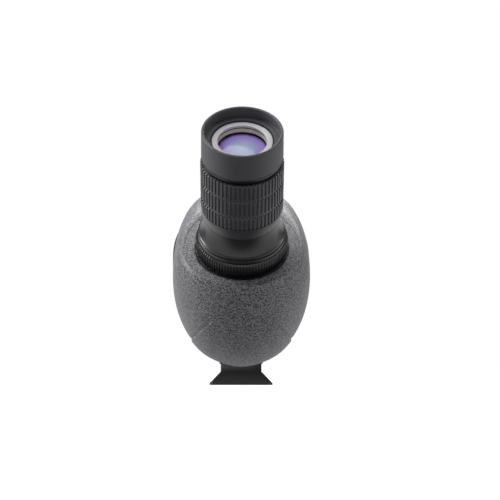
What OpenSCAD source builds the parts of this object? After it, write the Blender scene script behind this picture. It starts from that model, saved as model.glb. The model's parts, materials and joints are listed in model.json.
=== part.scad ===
// Angled spotting scope: 70 mm class objective, roof prism body, 45 degree zoom eyepiece and a dovetail foot.
// Origin: centre of the foot's bottom face. +Y points to the objective, +X to the right, +Z up. Millimetres.

/* [Optics] */
// Diameter of the objective lenses
objective_d = 73; // [58:0.5:90]
// Diameter of the eye lens
eye_lens_d = 27; // [22:0.5:28]
// Side of the prism's square entrance face
prism_side = 30; // [24:0.5:33]

/* [Body] */
// Height of the main optical axis above the foot's bottom face
axis_h = 61.2; // [58:0.1:74]
// Width of the prism housing over its armour
body_w = 80; // [74:0.2:100]
// Distance from the main axis down to the underside of the housing
body_drop = 50; // [46:0.5:52]
// Distance from the main axis up to the crown of the housing
body_rise = 57; // [50:0.2:60]
// Wall of the cast casing
casing_wall = 2.2; // [1.6:0.1:2.8]
// Thickness of the rubber armour
armour_t = 1.6; // [1.2:0.1:2.2]
// How far the belly armour stands proud of the rear armour
belly_step = 0.7; // [0.3:0.1:1.2]
// Radius of the raised ring round the eyepiece port
plateau_r = 31.2; // [30.8:0.1:33]
// Front face of the casing, forward of the foot's centre
casing_front_y = 31; // [29:0.5:36]

/* [Foot] */
// Width of the dovetail at its bottom face
foot_w = 38; // [38:0.5:46]
// Length of the foot
foot_len = 60; // [54:0.5:72]
// Width of the foot's neck
neck_w = 24.5; // [22:0.5:27]
// Height of the dovetail, from its bottom face to the neck
foot_h = 9; // [8:0.25:10]
// Height of the upright lip along the dovetail's bottom edge
foot_lip = 1.2; // [0.8:0.1:2]
// Chamfer on the foot's corners
foot_chamfer = 2.2; // [1:0.1:4]
// Radius of the small tripod thread, 1/4-20
thread_small_r = 3.2; // [3.1:0.05:3.3]
// Radius of the large tripod thread, 3/8-16
thread_large_r = 4.8; // [4.6:0.05:4.9]
// Radius of the anti-twist pin's hole
twist_hole_r = 2.3; // [2:0.1:2.6]

/* [Focusing] */
// Length of the focus ring
focus_len = 32; // [28:0.5:40]
// Wall of the focus ring
focus_wall = 4.1; // [3.6:0.1:5]
// Thickness of the focus ring's rubber grip
focus_grip_t = 1.8; // [1.4:0.1:2.4]
// Travel of the focus lens each way from its middle place
focus_travel = 8; // [5:0.5:8]
// Wall of the main tube
tube_wall = 2.5; // [2:0.1:3]

/* [Objective barrel and sunshade] */
// Length of the objective barrel
barrel_len = 80.7; // [76:0.1:96]
// Wall of the objective barrel
barrel_wall = 2.4; // [2:0.1:3]
// Length of the sliding sunshade
shade_len = 63; // [58:0.5:68]
// Wall of the sunshade
shade_wall = 1.6; // [1.2:0.1:2.4]
// How far the sunshade slides forward
shade_travel = 38; // [30:0.5:40]

/* [Eyepiece] */
// Radius of the eyepiece's spigot
spigot_r = 19.5; // [18.8:0.05:19.8]
// Outer radius of the knurled lock ring
lock_ring_r = 26; // [25:0.1:27]
// Height of the lock ring
lock_ring_h = 9.8; // [9:0.1:11]
// Radius of the slim part of the eyepiece barrel
barrel_neck_r = 21.4; // [21:0.1:22.4]
// Outer radius over the zoom grip's ribs
zoom_grip_r = 22.95; // [22.6:0.05:24]
// Bore radius of the guide tube
guide_bore_r = 16.4; // [16:0.05:16.6]
// Wall of the guide tube
guide_wall = 1.2; // [0.9:0.05:1.4]
// Outer radius of the eyecup at its foot
eyecup_r = 22.45; // [22.2:0.05:23.4]
// Height of the eyecup
eyecup_h = 16; // [14.5:0.1:18]
// How far the eyecup screws up
eyecup_travel = 8; // [5:0.5:8]
// Travel of the lower zoom cell
lower_zoom_travel = 9; // [6:0.5:9]
// Travel of the upper zoom cell
upper_zoom_travel = 8; // [5:0.5:8]
// Angle that the zoom ring turns through
zoom_angle = 110; // [90:5:120]

/* [Clearances] */
// Radial clearance of a turning ring or a sliding cell
run_fit = 0.05; // [0.02:0.01:0.1]
// Radial clearance of the large rings that turn or slide
ring_fit = 0.08; // [0.04:0.01:0.1]
// Gap between parts that move past each other without guiding
free_gap = 0.4; // [0.3:0.05:0.6]
// Gap between parts that are fixed to each other
seat_gap = 0.05; // [0:0.01:0.1]

/* [Hidden] */
$fn = 96;
lens_fn = 360;

// ---- Main axis: stations along Y ----
objective_r = objective_d / 2;
tube_r = objective_r - 0.5;
tube_in = tube_r - tube_wall;
flange_t = 2.2;
flange_r = tube_r + 4.6;
flange_screw_circle = tube_r + 2.2;
small_screw_r = 1;
front_r = tube_r + 5.2;
front_sag = 3;
bulkhead_t = 4;
cavity_front_y = casing_front_y - bulkhead_t;
tube_y0 = cavity_front_y - 9;
flange_y1 = casing_front_y + flange_t;
focus_y0 = flange_y1 + 0.8;
focus_y1 = focus_y0 + focus_len;
focus_ring_in = tube_r + ring_fit;
focus_ring_r = focus_ring_in + focus_wall;
focus_grip_r = focus_ring_r + focus_grip_t;
stop_y0 = focus_y1 + 0.3;
stop_t = 3;
barrel_y0 = stop_y0 + stop_t;
barrel_y1 = barrel_y0 + barrel_len;
tube_y1 = barrel_y0 + 22.7;

// Focusing cell and the pin that drives it
pin_y = (focus_y0 + focus_y1) / 2 - 2;
focus_pin_r = 2;
focus_cell_len = 20;
focus_cell_r = tube_in - run_fit;
focus_slot_half = focus_travel + focus_pin_r + free_gap;
focus_groove_d = 2.5;
o_ring_r = 0.6;
o_groove_w = 1.4;
o_groove_d = 1.2;
seal_groove_y = [focus_y0 + 1.2, focus_y1 - 1.2];
focus_cell_y0 = pin_y - focus_cell_len / 2;
focus_lens_r = tube_in - 2.5;
focus_lens_edge = 7;

// Objective cell, its lenses and the barrel round it
cell_wall = 1;
lens_fit = 0.05;
cell_in = objective_r + lens_fit;
cell_r = cell_in + cell_wall;
barrel_in = cell_r + seat_gap;
barrel_r = barrel_in + barrel_wall;
filter_r = barrel_in + 0.9;
filter_len = 5;
cell_y1 = barrel_y1 - 10;
cell_y0 = cell_y1 - 22;
cell_seat = 2;
flint_y0 = cell_y0 + cell_seat;
flint_edge = 9;
flint_front_curve = 155;
spacer_t = 0.75;
crown_y0 = flint_y0 + flint_edge + 1;
crown_edge = 3.2;
crown_rear_curve = 150;
crown_front_curve = 210;
seal_y = crown_y0 + crown_edge + 0.95;
retainer_y0 = seal_y + 0.6;

// Sunshade
shade_gap = 0.35;
shade_in = barrel_r + shade_gap;
shade_r = shade_in + shade_wall;
shade_overlap = 20;
shade_y0 = barrel_y1 - shade_travel - shade_overlap;
shade_y1 = shade_y0 + shade_len;
bumper_len = 5;
bumper_r = shade_r + 1.4;
felt_w = 4;
felt_depth = 0.7;
felt_y = [shade_y0 + 4, barrel_y1 - 10];

// ---- Casing: sections that turn about a pivot line behind the crown, then run forward ----
pivot_y = -45;
pivot_z = 76.2;
body_a = body_w / 2;
port_section_r = 30.7;
port_rho = 84.75;
port_angle = 45;
crown_rho = pivot_z - body_rise;
floor_rho = pivot_z + body_drop;
rear_end_y = -12.4;
front_start_y = -11.6;

// A section: [angle, forward shift, top rho, bottom rho, half width, rho of widest point, top exponent]
rear_rows = [
    [45, 0, port_rho - port_section_r, port_rho + port_section_r, port_section_r, port_rho, 2],
    [44.6, 0, 44.8, 115.8, 33.4, 84, 2],
    [42.6, 0, 36.9, 117, body_a * 0.9, 83.2, 2.1],
    [36.2, 0, 28.3, 120.2, body_a * 0.958, 82, 2.15],
    [30, 0, 24.6, 123, body_a * 0.981, 81, 2.25],
    [22, 0, crown_rho + 1.2, floor_rho - 0.6, body_a * 0.997, 79.4, 2.4],
    [11, 0, crown_rho + 0.3, floor_rho + 1.2, body_a, 77.8, 2.55],
    [0, 0, crown_rho, floor_rho, body_a * 0.997, pivot_z, 2.7],
    [0, -30 - pivot_y, crown_rho + 1.8, floor_rho, body_a * 0.995, pivot_z, 2.7],
    [0, rear_end_y - pivot_y, crown_rho + 6.8, floor_rho, body_a * 0.993, pivot_z, 2.7]
];
front_rows = [
    [0, front_start_y - pivot_y, crown_rho + 7.6, floor_rho, body_a + 1.9, pivot_z - 16, 2.5],
    [0, 4 - pivot_y, pivot_z - front_r - 3.2, floor_rho, body_a + 1.6, pivot_z - 10, 2.4],
    [0, 18 - pivot_y, pivot_z - front_r - 1.4, floor_rho - 1.5, front_r, pivot_z - 4, 2.15],
    [0, cavity_front_y - pivot_y, pivot_z - front_r - 0.3, pivot_z + front_r + front_sag, front_r, pivot_z - 1, 2],
    [0, casing_front_y - pivot_y, pivot_z - front_r, pivot_z + front_r, front_r, pivot_z, 2]
];
casing_rows = concat(rear_rows, front_rows);
cavity_rows = [for (i = [2:len(casing_rows) - 2]) casing_rows[i]];
loft_segments = 36;
armour_seat = 0.03;

// Belly armour seam: two slopes that fall away from a ridge over the middle
seam_ridge_z = axis_h - 13;
seam_slope = 35.8;
seam_gap = 0.15;

// Foot and the pad on the casing that it bolts to
pad_z = min(axis_h - body_drop, axis_h - front_r - front_sag) + armour_t;
pad_half_w = neck_w / 2 + 0.75;
foot_y0 = -foot_len / 2;
foot_y1 = foot_len / 2;
pad_rim = 0.6;
pad_boss_h = 5.2;
foot_screw_x = 7;
foot_screw_y = [foot_y0 + 8, foot_y1 - 5];
foot_screw_r = 2;
foot_screw_head_r = 3.5;
foot_screw_head_h = 3.2;
large_thread_y = 14;
twist_hole_y = -13;
twist_hole_depth = 7;

// Roof prism: triangle in the YZ plane; its entrance face is square to the main axis
port_y = pivot_y - port_rho * sin(port_angle);
port_z = axis_h + pivot_z - port_rho * cos(port_angle);
axis_cross_y = port_y + (port_z - axis_h);
prism_half = prism_side / 2;
entry_y = axis_cross_y + 0.413 * prism_half;
prism_top = prism_half;
prism_foot = prism_half * 1.827;
roof_angle = 22.5;
exit_len = prism_side;
bracket_t = 3;
cheek_t = 2;
cheek_gap = 0.2;
aperture_r = prism_half * 0.93;
prism_boss_y0 = entry_y - 10;
prism_boss_x0 = 27;
prism_boss_x1 = body_a * 0.91;
prism_boss_half_h = 6;
prism_screw_r = 1.5;
prism_screw_x = prism_boss_x0 + 3;
prism_screw_depth = 5.5;

// ---- Eyepiece axis: stations t along it, from the port plane ----
port_face_t = -1.2;
plateau_t = 0.2;
port_hole_r = lock_ring_r + free_gap;
socket_flange_t = 0.3;
socket_r = spigot_r + 2;
socket_bore = spigot_r + run_fit;
socket_top_t = 5;
socket_screw_circle = spigot_r + 4.6;
socket_screw_depth = 2.4;
neck_r = spigot_r + 3.1;
window_r = spigot_r - 2.5;
window_t0 = -13;
window_t1 = -10.8;
window_ring_t1 = -9.2;
spigot_t0 = -9;
captive_t0 = 5.4;
captive_t1 = 8.2;
guide_seat_r = spigot_r + 0.5;
guide_seat_t1 = 15;
lock_t0 = 0.4;
lock_t1 = lock_t0 + lock_ring_h;
barrel_t0 = lock_t1 + 0.1;
barrel_t1 = barrel_t0 + 15.1;
guide_r = guide_bore_r + guide_wall;
guide_t1 = barrel_t1 + 42.6;
cam_in = guide_r + ring_fit;
cam_r = cam_in + 1.3;
cam_t0 = barrel_t1 - 1.9;
zoom_t0 = barrel_t1 + 0.3;
zoom_smooth_h = 7.4;
zoom_t1 = zoom_t0 + 38.6;
cam_t1 = zoom_t1 - 0.8;
grip_base_r = zoom_grip_r - 1.5;
grip_t0 = zoom_t0 + zoom_smooth_h + 0.3;
grip_row_ends = [[0, 7.8], [9.4, 19.6], [21, 30.6]];
grip_rib_count = 60;
grip_rib_h = 0.55;
collar_t0 = zoom_t1 + 0.3;
collar_floor_t = 1.4;
collar_t1 = collar_t0 + 4.1;
collar_r = eyecup_r - 0.65;
cup_t0 = zoom_t1 + 4.5;
cup_t1 = cup_t0 + eyecup_h;
cup_rim_r = eyecup_r - 0.15;
cup_bore = eyecup_r - 1.47;
cup_floor_t0 = cup_t0 + eyecup_travel + 0.6;
cup_floor_t1 = cup_floor_t0 + 1.6;
cup_floor_hole = guide_r - 0.4;
cup_inner_r = eyecup_r - 1.85;
sleeve_r = cup_bore - ring_fit;
sleeve_in = sleeve_r - 1.3;
sleeve_t0 = collar_t0 + collar_floor_t + 0.2;
sleeve_t1 = cup_floor_t0 - 0.2;
cup_guide_r = sleeve_in - ring_fit;
cup_guide_in = guide_r + 0.4;
cup_guide_t1 = cup_floor_t0 - 0.4;
key_r = 0.9;
key_gap = 0.3;
key_t = sleeve_t0 + 1.3;

// Zoom cells, their pins and the cam slots
zoom_cell_r = guide_bore_r - run_fit;
zoom_cell_in = zoom_cell_r - 1.85;
cam_pin_r = 1.2;
pin_slot_half = cam_pin_r + 0.3;
cam_slot_r = 2;
lower_pin_t = cam_t0 + 4;
lower_cell_t0 = lower_pin_t - 7.5;
lower_cell_len = 10;
upper_cell_len = 10;
upper_cell_t0 = guide_t1 - 18;
upper_pin_t = upper_cell_t0 + 7;
lower_pin_angle = 0;
upper_pin_angle = 180;
cam_steps = 18;
cam_screw_r = 0.8;

// Lens housing at the top of the guide tube
eye_r = eye_lens_d / 2;
housing_t0 = guide_t1 - 6.5;
housing_seat_t = guide_t1 + 1.2;
housing_r = cup_floor_hole - 0.3;
housing_t1 = guide_t1 + 10;
eye_edge_t = 2.4;
eye_t0 = guide_t1 + 1.9;
eye_edge_top = eye_t0 + eye_edge_t;
eye_top_curve = 33;
ring_wall = 0.35;
ring_t0 = housing_t1 - 1.4;
inner_eye_r = eye_r - 1.8;
inner_eye_t0 = housing_t0 + 2;

// ================= Helpers =================

// Places children on the main optical axis, local +Z pointing forward
module on_main(y = 0) {
    translate([0, y, axis_h]) rotate([-90, 0, 0]) children();
}

// Places children on the eyepiece axis, local +Z pointing to the eye, origin on the port plane
module on_eye(t = 0) {
    translate([0, port_y, port_z]) rotate([45, 0, 0]) translate([0, 0, t]) children();
}

// A tube between two heights
module tube(r_out, r_in, z0, z1) {
    translate([0, 0, z0]) difference() {
        cylinder(r = r_out, h = z1 - z0);
        translate([0, 0, -1]) cylinder(r = r_in, h = z1 - z0 + 2);
    }
}

// An O-ring
module o_ring(r_mid, r_cord) {
    rotate_extrude() translate([r_mid, 0]) circle(r = r_cord, $fn = 24);
}

// A polygon with count square teeth between two radii; share is the tooth's part of the pitch
function toothed(r_root, r_tip, count, share) = [
    for (i = [0:count - 1])
        for (k = [0:3])
            let (
                pitch = 360 / count,
                half = pitch * share / 2,
                slope = pitch * 0.06,
                angle = i * pitch + [-half - slope, -half, half, half + slope][k],
                r = (k == 0 || k == 3) ? r_root : r_tip
            ) [r * cos(angle), r * sin(angle)]
];

// A lens on local Z: edge cylinder from z = 0 to edge, with spherical caps (negative curve = hollow)
module lens(r, edge, bottom_curve, top_curve) {
    bottom_sag = cap_sag(r, bottom_curve);
    top_sag = cap_sag(r, top_curve);
    difference() {
        intersection() {
            translate([0, 0, -max(bottom_sag, 0)])
                cylinder(r = r, h = edge + max(bottom_sag, 0) + max(top_sag, 0));
            if (bottom_curve > 0)
                translate([0, 0, bottom_curve - bottom_sag]) sphere(r = bottom_curve, $fn = lens_fn);
            if (top_curve > 0)
                translate([0, 0, edge + top_sag - top_curve]) sphere(r = top_curve, $fn = lens_fn);
        }
        if (bottom_curve < 0)
            translate([0, 0, bottom_curve - bottom_sag]) sphere(r = -bottom_curve, $fn = lens_fn);
        if (top_curve < 0)
            translate([0, 0, edge + top_sag - top_curve]) sphere(r = -top_curve, $fn = lens_fn);
    }
}

// Height of a spherical cap over an edge radius; negative for a hollow face, 0 for a flat one
function cap_sag(r, curve) = curve == 0 ? 0 : sign(curve) * (abs(curve) - sqrt(curve * curve - r * r));

// A point of a casing section; phi runs round from the lowest point, grow moves the wall out
function section_point(row, phi, grow) =
    let (
        lower = cos(phi) >= 0,
        power = lower ? 1 : 2 / row[6],
        span = lower ? row[3] - row[5] : row[5] - row[2],
        x = (row[4] + grow) * sign(sin(phi)) * pow(abs(sin(phi)), power),
        rho = row[5] + (lower ? 1 : -1) * (span + grow) * pow(abs(cos(phi)), power)
    ) [x, pivot_y - rho * sin(row[0]) + row[1], axis_h + pivot_z - rho * cos(row[0])];

function section_ring(row, grow) =
    [for (i = [0:loft_segments - 1]) section_point(row, i * 360 / loft_segments, grow)];

function loft_points(rows, grow) = [for (row = rows) each section_ring(row, grow)];

// Triangles between ring i and ring i + 1 of a loft, starting at a point number
function band(first, ring, flip) = [
    for (j = [0:loft_segments - 1])
        let (
            n = loft_segments,
            a = first + ring * n + j,
            b = first + ring * n + (j + 1) % n,
            c = a + n,
            d = b + n
        ) each flip ? [[a, c, b], [b, c, d]] : [[a, b, c], [b, d, c]]
];

// A closed loft through all rows
module body_loft(rows, grow) {
    n = loft_segments;
    last = (len(rows) - 1) * n;
    polyhedron(
        points = loft_points(rows, grow),
        faces = concat(
            [[for (j = [n - 1:-1:0]) j]],
            [for (i = [0:len(rows) - 2]) each band(0, i, false)],
            [[for (j = [0:n - 1]) last + j]]
        ),
        convexity = 6
    );
}

// A skin between two offsets of the same rows, open at both ends
module body_skin(rows, grow_out, grow_in) {
    n = loft_segments;
    inner = len(rows) * n;
    last = (len(rows) - 1) * n;
    polyhedron(
        points = concat(loft_points(rows, grow_out), loft_points(rows, grow_in)),
        faces = concat(
            [for (i = [0:len(rows) - 2]) each band(0, i, false)],
            [for (i = [0:len(rows) - 2]) each band(inner, i, true)],
            [for (j = [0:n - 1]) let (k = (j + 1) % n) each [[k, j, inner + j], [k, inner + j, inner + k]]],
            [for (j = [0:n - 1]) let (k = (j + 1) % n)
                each [[last + j, last + k, inner + last + k], [last + j, inner + last + k, inner + last + j]]]
        ),
        convexity = 8
    );
}

// The space under the belly seam's two slopes, lowered by a drop
module below_seam(drop) {
    reach = 70;
    edge_z = -reach * tan(seam_slope);
    translate([0, 0, seam_ridge_z - drop]) rotate([90, 0, 0]) linear_extrude(height = 200)
        polygon([[0, 0], [reach, edge_z], [reach, edge_z - 60], [-reach, edge_z - 60], [-reach, edge_z]]);
}

// The room that the foot's pad takes through the armour
module pad_room(gap) {
    translate([-pad_half_w - gap, foot_y0 - pad_rim - gap, pad_z - 12])
        cube([2 * (pad_half_w + gap), casing_front_y - foot_y0 + 10, 28]);
}

// Places children at the six screws of the main tube's flange, on the main axis
module at_flange_screws(y) {
    for (i = [0:5]) rotate([0, 0, i * 60]) translate([flange_screw_circle, 0, y]) children();
}

// Places children at the six screws of the eyepiece socket, on the eyepiece axis
module at_socket_screws(t) {
    for (i = [0:5]) rotate([0, 0, i * 60 + 30]) translate([socket_screw_circle, 0, t]) children();
}

// Places children at the prism bracket's two screws, local +Z forward, y counted from the entrance face
module at_prism_screws(y) {
    for (side = [-1, 1]) translate([side * prism_screw_x, entry_y + y, axis_h])
        rotate([-90, 0, 0]) children();
}

// Places children at the foot's four screws
module at_foot_screws(z) {
    for (x = [-foot_screw_x, foot_screw_x]) for (y = foot_screw_y) translate([x, y, z]) children();
}

// ================= Casing and armour =================

module main_casing() {
    color([0.12, 0.12, 0.13]) difference() {
        union() {
            difference() {
                union() {
                    body_loft(casing_rows, -armour_t);
                    translate([-pad_half_w, foot_y0 - pad_rim, pad_z])
                        cube([2 * pad_half_w, foot_y1 - foot_y0 + pad_rim, 11]);
                }
                body_loft(cavity_rows, -armour_t - casing_wall);
            }
            translate([-pad_half_w + 2, foot_y0, pad_z + 1])
                cube([2 * pad_half_w - 4, cavity_front_y - foot_y0, pad_boss_h]);
            intersection() {
                body_loft(casing_rows, -armour_t - casing_wall / 2);
                for (side = [-1, 1]) translate([
                    side * (prism_boss_x0 + prism_boss_x1) / 2 - (prism_boss_x1 - prism_boss_x0) / 2,
                    prism_boss_y0, axis_h - prism_boss_half_h
                ]) cube([prism_boss_x1 - prism_boss_x0, entry_y - prism_boss_y0, 2 * prism_boss_half_h]);
            }
        }
        on_eye() {
            translate([0, 0, port_face_t]) cylinder(r = plateau_r + 0.1, h = 8);
            translate([0, 0, -12]) cylinder(r = socket_r + seat_gap, h = 20);
            at_socket_screws(port_face_t - socket_screw_depth - 0.9)
                cylinder(r = small_screw_r, h = 2 * socket_screw_depth);
        }
        on_main(cavity_front_y - 1) cylinder(r = tube_r + seat_gap, h = bulkhead_t + 2);
        on_main() at_flange_screws(casing_front_y - 3) cylinder(r = small_screw_r, h = 4);
        at_foot_screws(pad_z - 1) cylinder(r = foot_screw_r, h = pad_boss_h + 0.8);
        at_prism_screws(-prism_screw_depth - 0.5) cylinder(r = prism_screw_r, h = prism_screw_depth + 1.5);
    }
}

module rear_armour() {
    color([0.42, 0.42, 0.44]) difference() {
        union() {
            difference() {
                body_skin(rear_rows, 0, armour_seat - armour_t);
                on_eye(port_face_t) cylinder(r = plateau_r, h = 8);
                below_seam(0);
            }
            on_eye() tube(plateau_r, port_hole_r, port_face_t, plateau_t);
        }
        pad_room(0.1);
    }
}

module belly_armour() {
    color([0.42, 0.42, 0.44]) difference() {
        intersection() {
            body_skin(rear_rows, belly_step, armour_seat - armour_t);
            below_seam(seam_gap);
        }
        pad_room(0.1);
    }
}

module front_armour() {
    color([0.13, 0.13, 0.14]) difference() {
        body_skin(front_rows, 0, armour_seat - armour_t);
        pad_room(0.1);
    }
}

// ================= Foot =================

module tripod_foot() {
    slope = (foot_w - neck_w) / 2;
    lip = max(foot_lip, foot_h - slope - 1);
    color([0.13, 0.13, 0.135]) difference() {
        intersection() {
            translate([0, foot_y1, 0]) rotate([90, 0, 0]) linear_extrude(height = foot_len) polygon([
                [-foot_w / 2, 0], [foot_w / 2, 0], [foot_w / 2, lip], [neck_w / 2, lip + slope],
                [neck_w / 2, pad_z], [-neck_w / 2, pad_z], [-neck_w / 2, lip + slope], [-foot_w / 2, lip]
            ]);
            linear_extrude(height = pad_z) polygon([
                [-foot_w / 2 + foot_chamfer, foot_y0], [foot_w / 2 - foot_chamfer, foot_y0],
                [foot_w / 2, foot_y0 + foot_chamfer], [foot_w / 2, foot_y1 - foot_chamfer],
                [foot_w / 2 - foot_chamfer, foot_y1], [-foot_w / 2 + foot_chamfer, foot_y1],
                [-foot_w / 2, foot_y1 - foot_chamfer], [-foot_w / 2, foot_y0 + foot_chamfer]
            ]);
        }
        translate([0, 0, -1]) cylinder(r = thread_small_r, h = 10);
        translate([0, large_thread_y, -1]) cylinder(r = thread_large_r, h = 10);
        translate([0, twist_hole_y, -1]) cylinder(r = twist_hole_r, h = twist_hole_depth + 1);
        at_foot_screws(-1) {
            cylinder(r = foot_screw_r + seat_gap, h = pad_z + 2);
            cylinder(r = foot_screw_head_r + 0.2, h = foot_screw_head_h + 2);
        }
    }
}

module foot_screws() {
    color([0.25, 0.25, 0.26]) at_foot_screws(1) difference() {
        union() {
            cylinder(r = foot_screw_head_r, h = foot_screw_head_h);
            cylinder(r = foot_screw_r, h = pad_z + pad_boss_h - 1.9);
        }
        translate([0, 0, -1]) cylinder(r = foot_screw_head_r / 2, h = 3, $fn = 6);
    }
}

// ================= Main tube and focusing =================

module main_tube() {
    color([0.1, 0.1, 0.1]) on_main() difference() {
        union() {
            tube(tube_r, tube_in, tube_y0, tube_y1);
            tube(flange_r, tube_in, casing_front_y, flange_y1);
        }
        for (y = seal_groove_y) tube(tube_r + 1, tube_r - o_groove_d, y - o_groove_w / 2, y + o_groove_w / 2);
        translate([-focus_pin_r - free_gap, -tube_r - 5, pin_y - focus_slot_half])
            cube([2 * (focus_pin_r + free_gap), 10, 2 * focus_slot_half]);
        at_flange_screws(casing_front_y - 1) {
            cylinder(r = small_screw_r + seat_gap, h = flange_t + 2);
            translate([0, 0, 1 + flange_t - 1.2]) cylinder(r = 1.8, h = 3);
        }
    }
}

module tube_flange_screws() {
    color([0.6, 0.6, 0.62]) on_main() at_flange_screws(casing_front_y - 2.6) {
        cylinder(r = small_screw_r, h = 4);
        translate([0, 0, 2.6 + flange_t - 1.2]) cylinder(r = 1.7, h = 1.1);
    }
}

module light_baffles() {
    color([0.05, 0.05, 0.05]) on_main() {
        tube(tube_in, tube_in - 9, tube_y0 + 1, tube_y0 + 2);
        tube(tube_in, tube_in - 3.4, tube_y1 - 17, tube_y1 - 16);
        tube(tube_in, tube_in - 2.4, tube_y1 - 6, tube_y1 - 5);
    }
}

module focus_stop_ring() {
    color([0.12, 0.12, 0.12]) on_main() tube(focus_ring_r + 0.2, tube_r, stop_y0, stop_y0 + stop_t);
}

module focus_seals() {
    color([0.05, 0.05, 0.05]) for (y = seal_groove_y) on_main(y) o_ring(tube_r - o_ring_r, o_ring_r);
}

module focus_ring() {
    color([0.1, 0.1, 0.1]) on_main() difference() {
        tube(focus_ring_r, focus_ring_in, focus_y0, focus_y1);
        translate([0, 0, pin_y])
            tube(focus_ring_in + focus_groove_d, focus_ring_in - 1, -focus_slot_half, focus_slot_half);
    }
}

module focus_grip() {
    color([0.08, 0.08, 0.08]) on_main() difference() {
        union() {
            tube(focus_grip_r - 0.7, focus_ring_r, focus_y0 + 2, focus_y1 - 2);
            translate([0, 0, focus_y0 + 3]) linear_extrude(height = focus_len - 6)
                polygon(toothed(focus_grip_r - 0.8, focus_grip_r, 72, 0.55));
        }
        translate([0, 0, focus_y0]) cylinder(r = focus_ring_r, h = focus_len);
    }
}

module focus_cell() {
    color([0.08, 0.08, 0.08]) on_main() difference() {
        translate([0, 0, focus_cell_y0]) cylinder(r = focus_cell_r, h = focus_cell_len);
        translate([0, 0, focus_cell_y0 - 1]) cylinder(r = focus_lens_r - 2, h = focus_cell_len + 2);
        translate([0, 0, focus_cell_y0 + cell_seat + 1]) cylinder(r = focus_lens_r, h = focus_cell_len);
        translate([0, 0, pin_y]) rotate([90, 0, 0]) cylinder(r = focus_pin_r, h = tube_r);
    }
}

module focus_lens() {
    color([0.7, 0.8, 0.85, 0.5]) on_main(focus_cell_y0 + cell_seat + 1)
        lens(focus_lens_r - 0.1, focus_lens_edge, -90, -140);
}

module focus_lens_retainer() {
    retainer_y = focus_cell_y0 + cell_seat + 1 + focus_lens_edge + 0.1;
    color([0.15, 0.15, 0.15]) on_main() difference() {
        tube(focus_lens_r, focus_lens_r - 2.1, retainer_y, retainer_y + 4);
        translate([0, 0, pin_y]) rotate([90, 0, 0]) cylinder(r = focus_pin_r + 0.2, h = tube_r);
    }
}

module focus_pin() {
    color([0.7, 0.7, 0.7]) on_main(pin_y) rotate([90, 0, 0]) translate([0, 0, tube_in - 2.4])
        cylinder(r = focus_pin_r, h = tube_wall + 2.4 + focus_groove_d - free_gap);
}

// ================= Objective =================

module objective_barrel() {
    color([0.13, 0.13, 0.135]) on_main() difference() {
        translate([0, 0, barrel_y0]) cylinder(r = barrel_r, h = barrel_len);
        translate([0, 0, barrel_y0 - 1]) cylinder(r = tube_r, h = barrel_len);
        translate([0, 0, tube_y1 + 0.3]) cylinder(r = barrel_in, h = barrel_len);
        translate([0, 0, barrel_y1 - filter_len]) cylinder(r = filter_r, h = filter_len + 1);
        for (y = felt_y) tube(barrel_r + 1, barrel_r - felt_depth, y, y + felt_w);
    }
}

module sunshade_felts() {
    color([0.09, 0.09, 0.1]) on_main() for (y = felt_y)
        tube(shade_in - ring_fit, barrel_r - felt_depth, y, y + felt_w);
}

module objective_cell() {
    color([0.06, 0.06, 0.06]) on_main() difference() {
        translate([0, 0, cell_y0]) cylinder(r = cell_r, h = cell_y1 - cell_y0);
        translate([0, 0, cell_y0 - 1]) cylinder(r = objective_r - 2.5, h = 30);
        translate([0, 0, flint_y0]) cylinder(r = cell_in, h = 30);
    }
}

module flint_lens() {
    color([0.75, 0.85, 0.8, 0.5]) on_main(flint_y0) lens(objective_r, flint_edge, 0, -flint_front_curve);
}

module lens_spacer() {
    color([0.5, 0.5, 0.5]) on_main() tube(objective_r, objective_r - 0.8, flint_y0 + flint_edge,
        flint_y0 + flint_edge + spacer_t);
}

module crown_lens() {
    color([0.6, 0.75, 0.7, 0.5]) on_main(crown_y0)
        lens(objective_r, crown_edge, crown_rear_curve, crown_front_curve);
}

module objective_seal() {
    color([0.05, 0.05, 0.05]) on_main(seal_y) o_ring(objective_r - 0.9, 0.55);
}

module objective_retaining_ring() {
    color([0.1, 0.1, 0.1]) on_main() difference() {
        tube(cell_in, objective_r - 2, retainer_y0, retainer_y0 + 3.2);
        for (side = [0, 180]) rotate([0, 0, side]) translate([objective_r - 3, -1, retainer_y0 + 2])
            cube([5, 2, 3]);
    }
}

module sunshade() {
    color([0.36, 0.36, 0.38]) on_main() difference() {
        tube(shade_r, shade_in, shade_y0, shade_y1);
        for (i = [0:2]) translate([0, 0, shade_y0 + 3 + i * 2.4]) rotate_extrude()
            translate([shade_r - 0.4, 0]) square([2, 1.2]);
    }
}

module sunshade_bumper() {
    color([0.07, 0.07, 0.07]) on_main() difference() {
        union() {
            translate([0, 0, shade_y1]) cylinder(r = bumper_r, h = bumper_len - 1);
            translate([0, 0, shade_y1 + bumper_len - 1]) cylinder(r1 = bumper_r, r2 = bumper_r - 1, h = 1);
        }
        translate([0, 0, shade_y1 - 1]) cylinder(r = shade_in, h = bumper_len + 2);
    }
}

// ================= Prism =================

// The prism's triangle in (Y, Z), with Z counted from the main axis
module prism_outline() {
    polygon([[entry_y, prism_top], [entry_y, -prism_foot], [entry_y - exit_len, prism_top - exit_len]]);
}

// Extrudes an outline drawn in (Y, Z) across X, centred
module across_x(width) {
    translate([-width / 2, 0, axis_h]) rotate([90, 0, 90]) linear_extrude(height = width) children();
}

module roof_prism() {
    color([0.75, 0.85, 0.9, 0.6]) intersection() {
        across_x(prism_side) prism_outline();
        translate([0, entry_y, axis_h - prism_foot]) rotate([-roof_angle, 0, 0]) rotate([0, -45, 0])
            translate([0, -150, 0]) cube([150, 300, 150]);
    }
}

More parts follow.
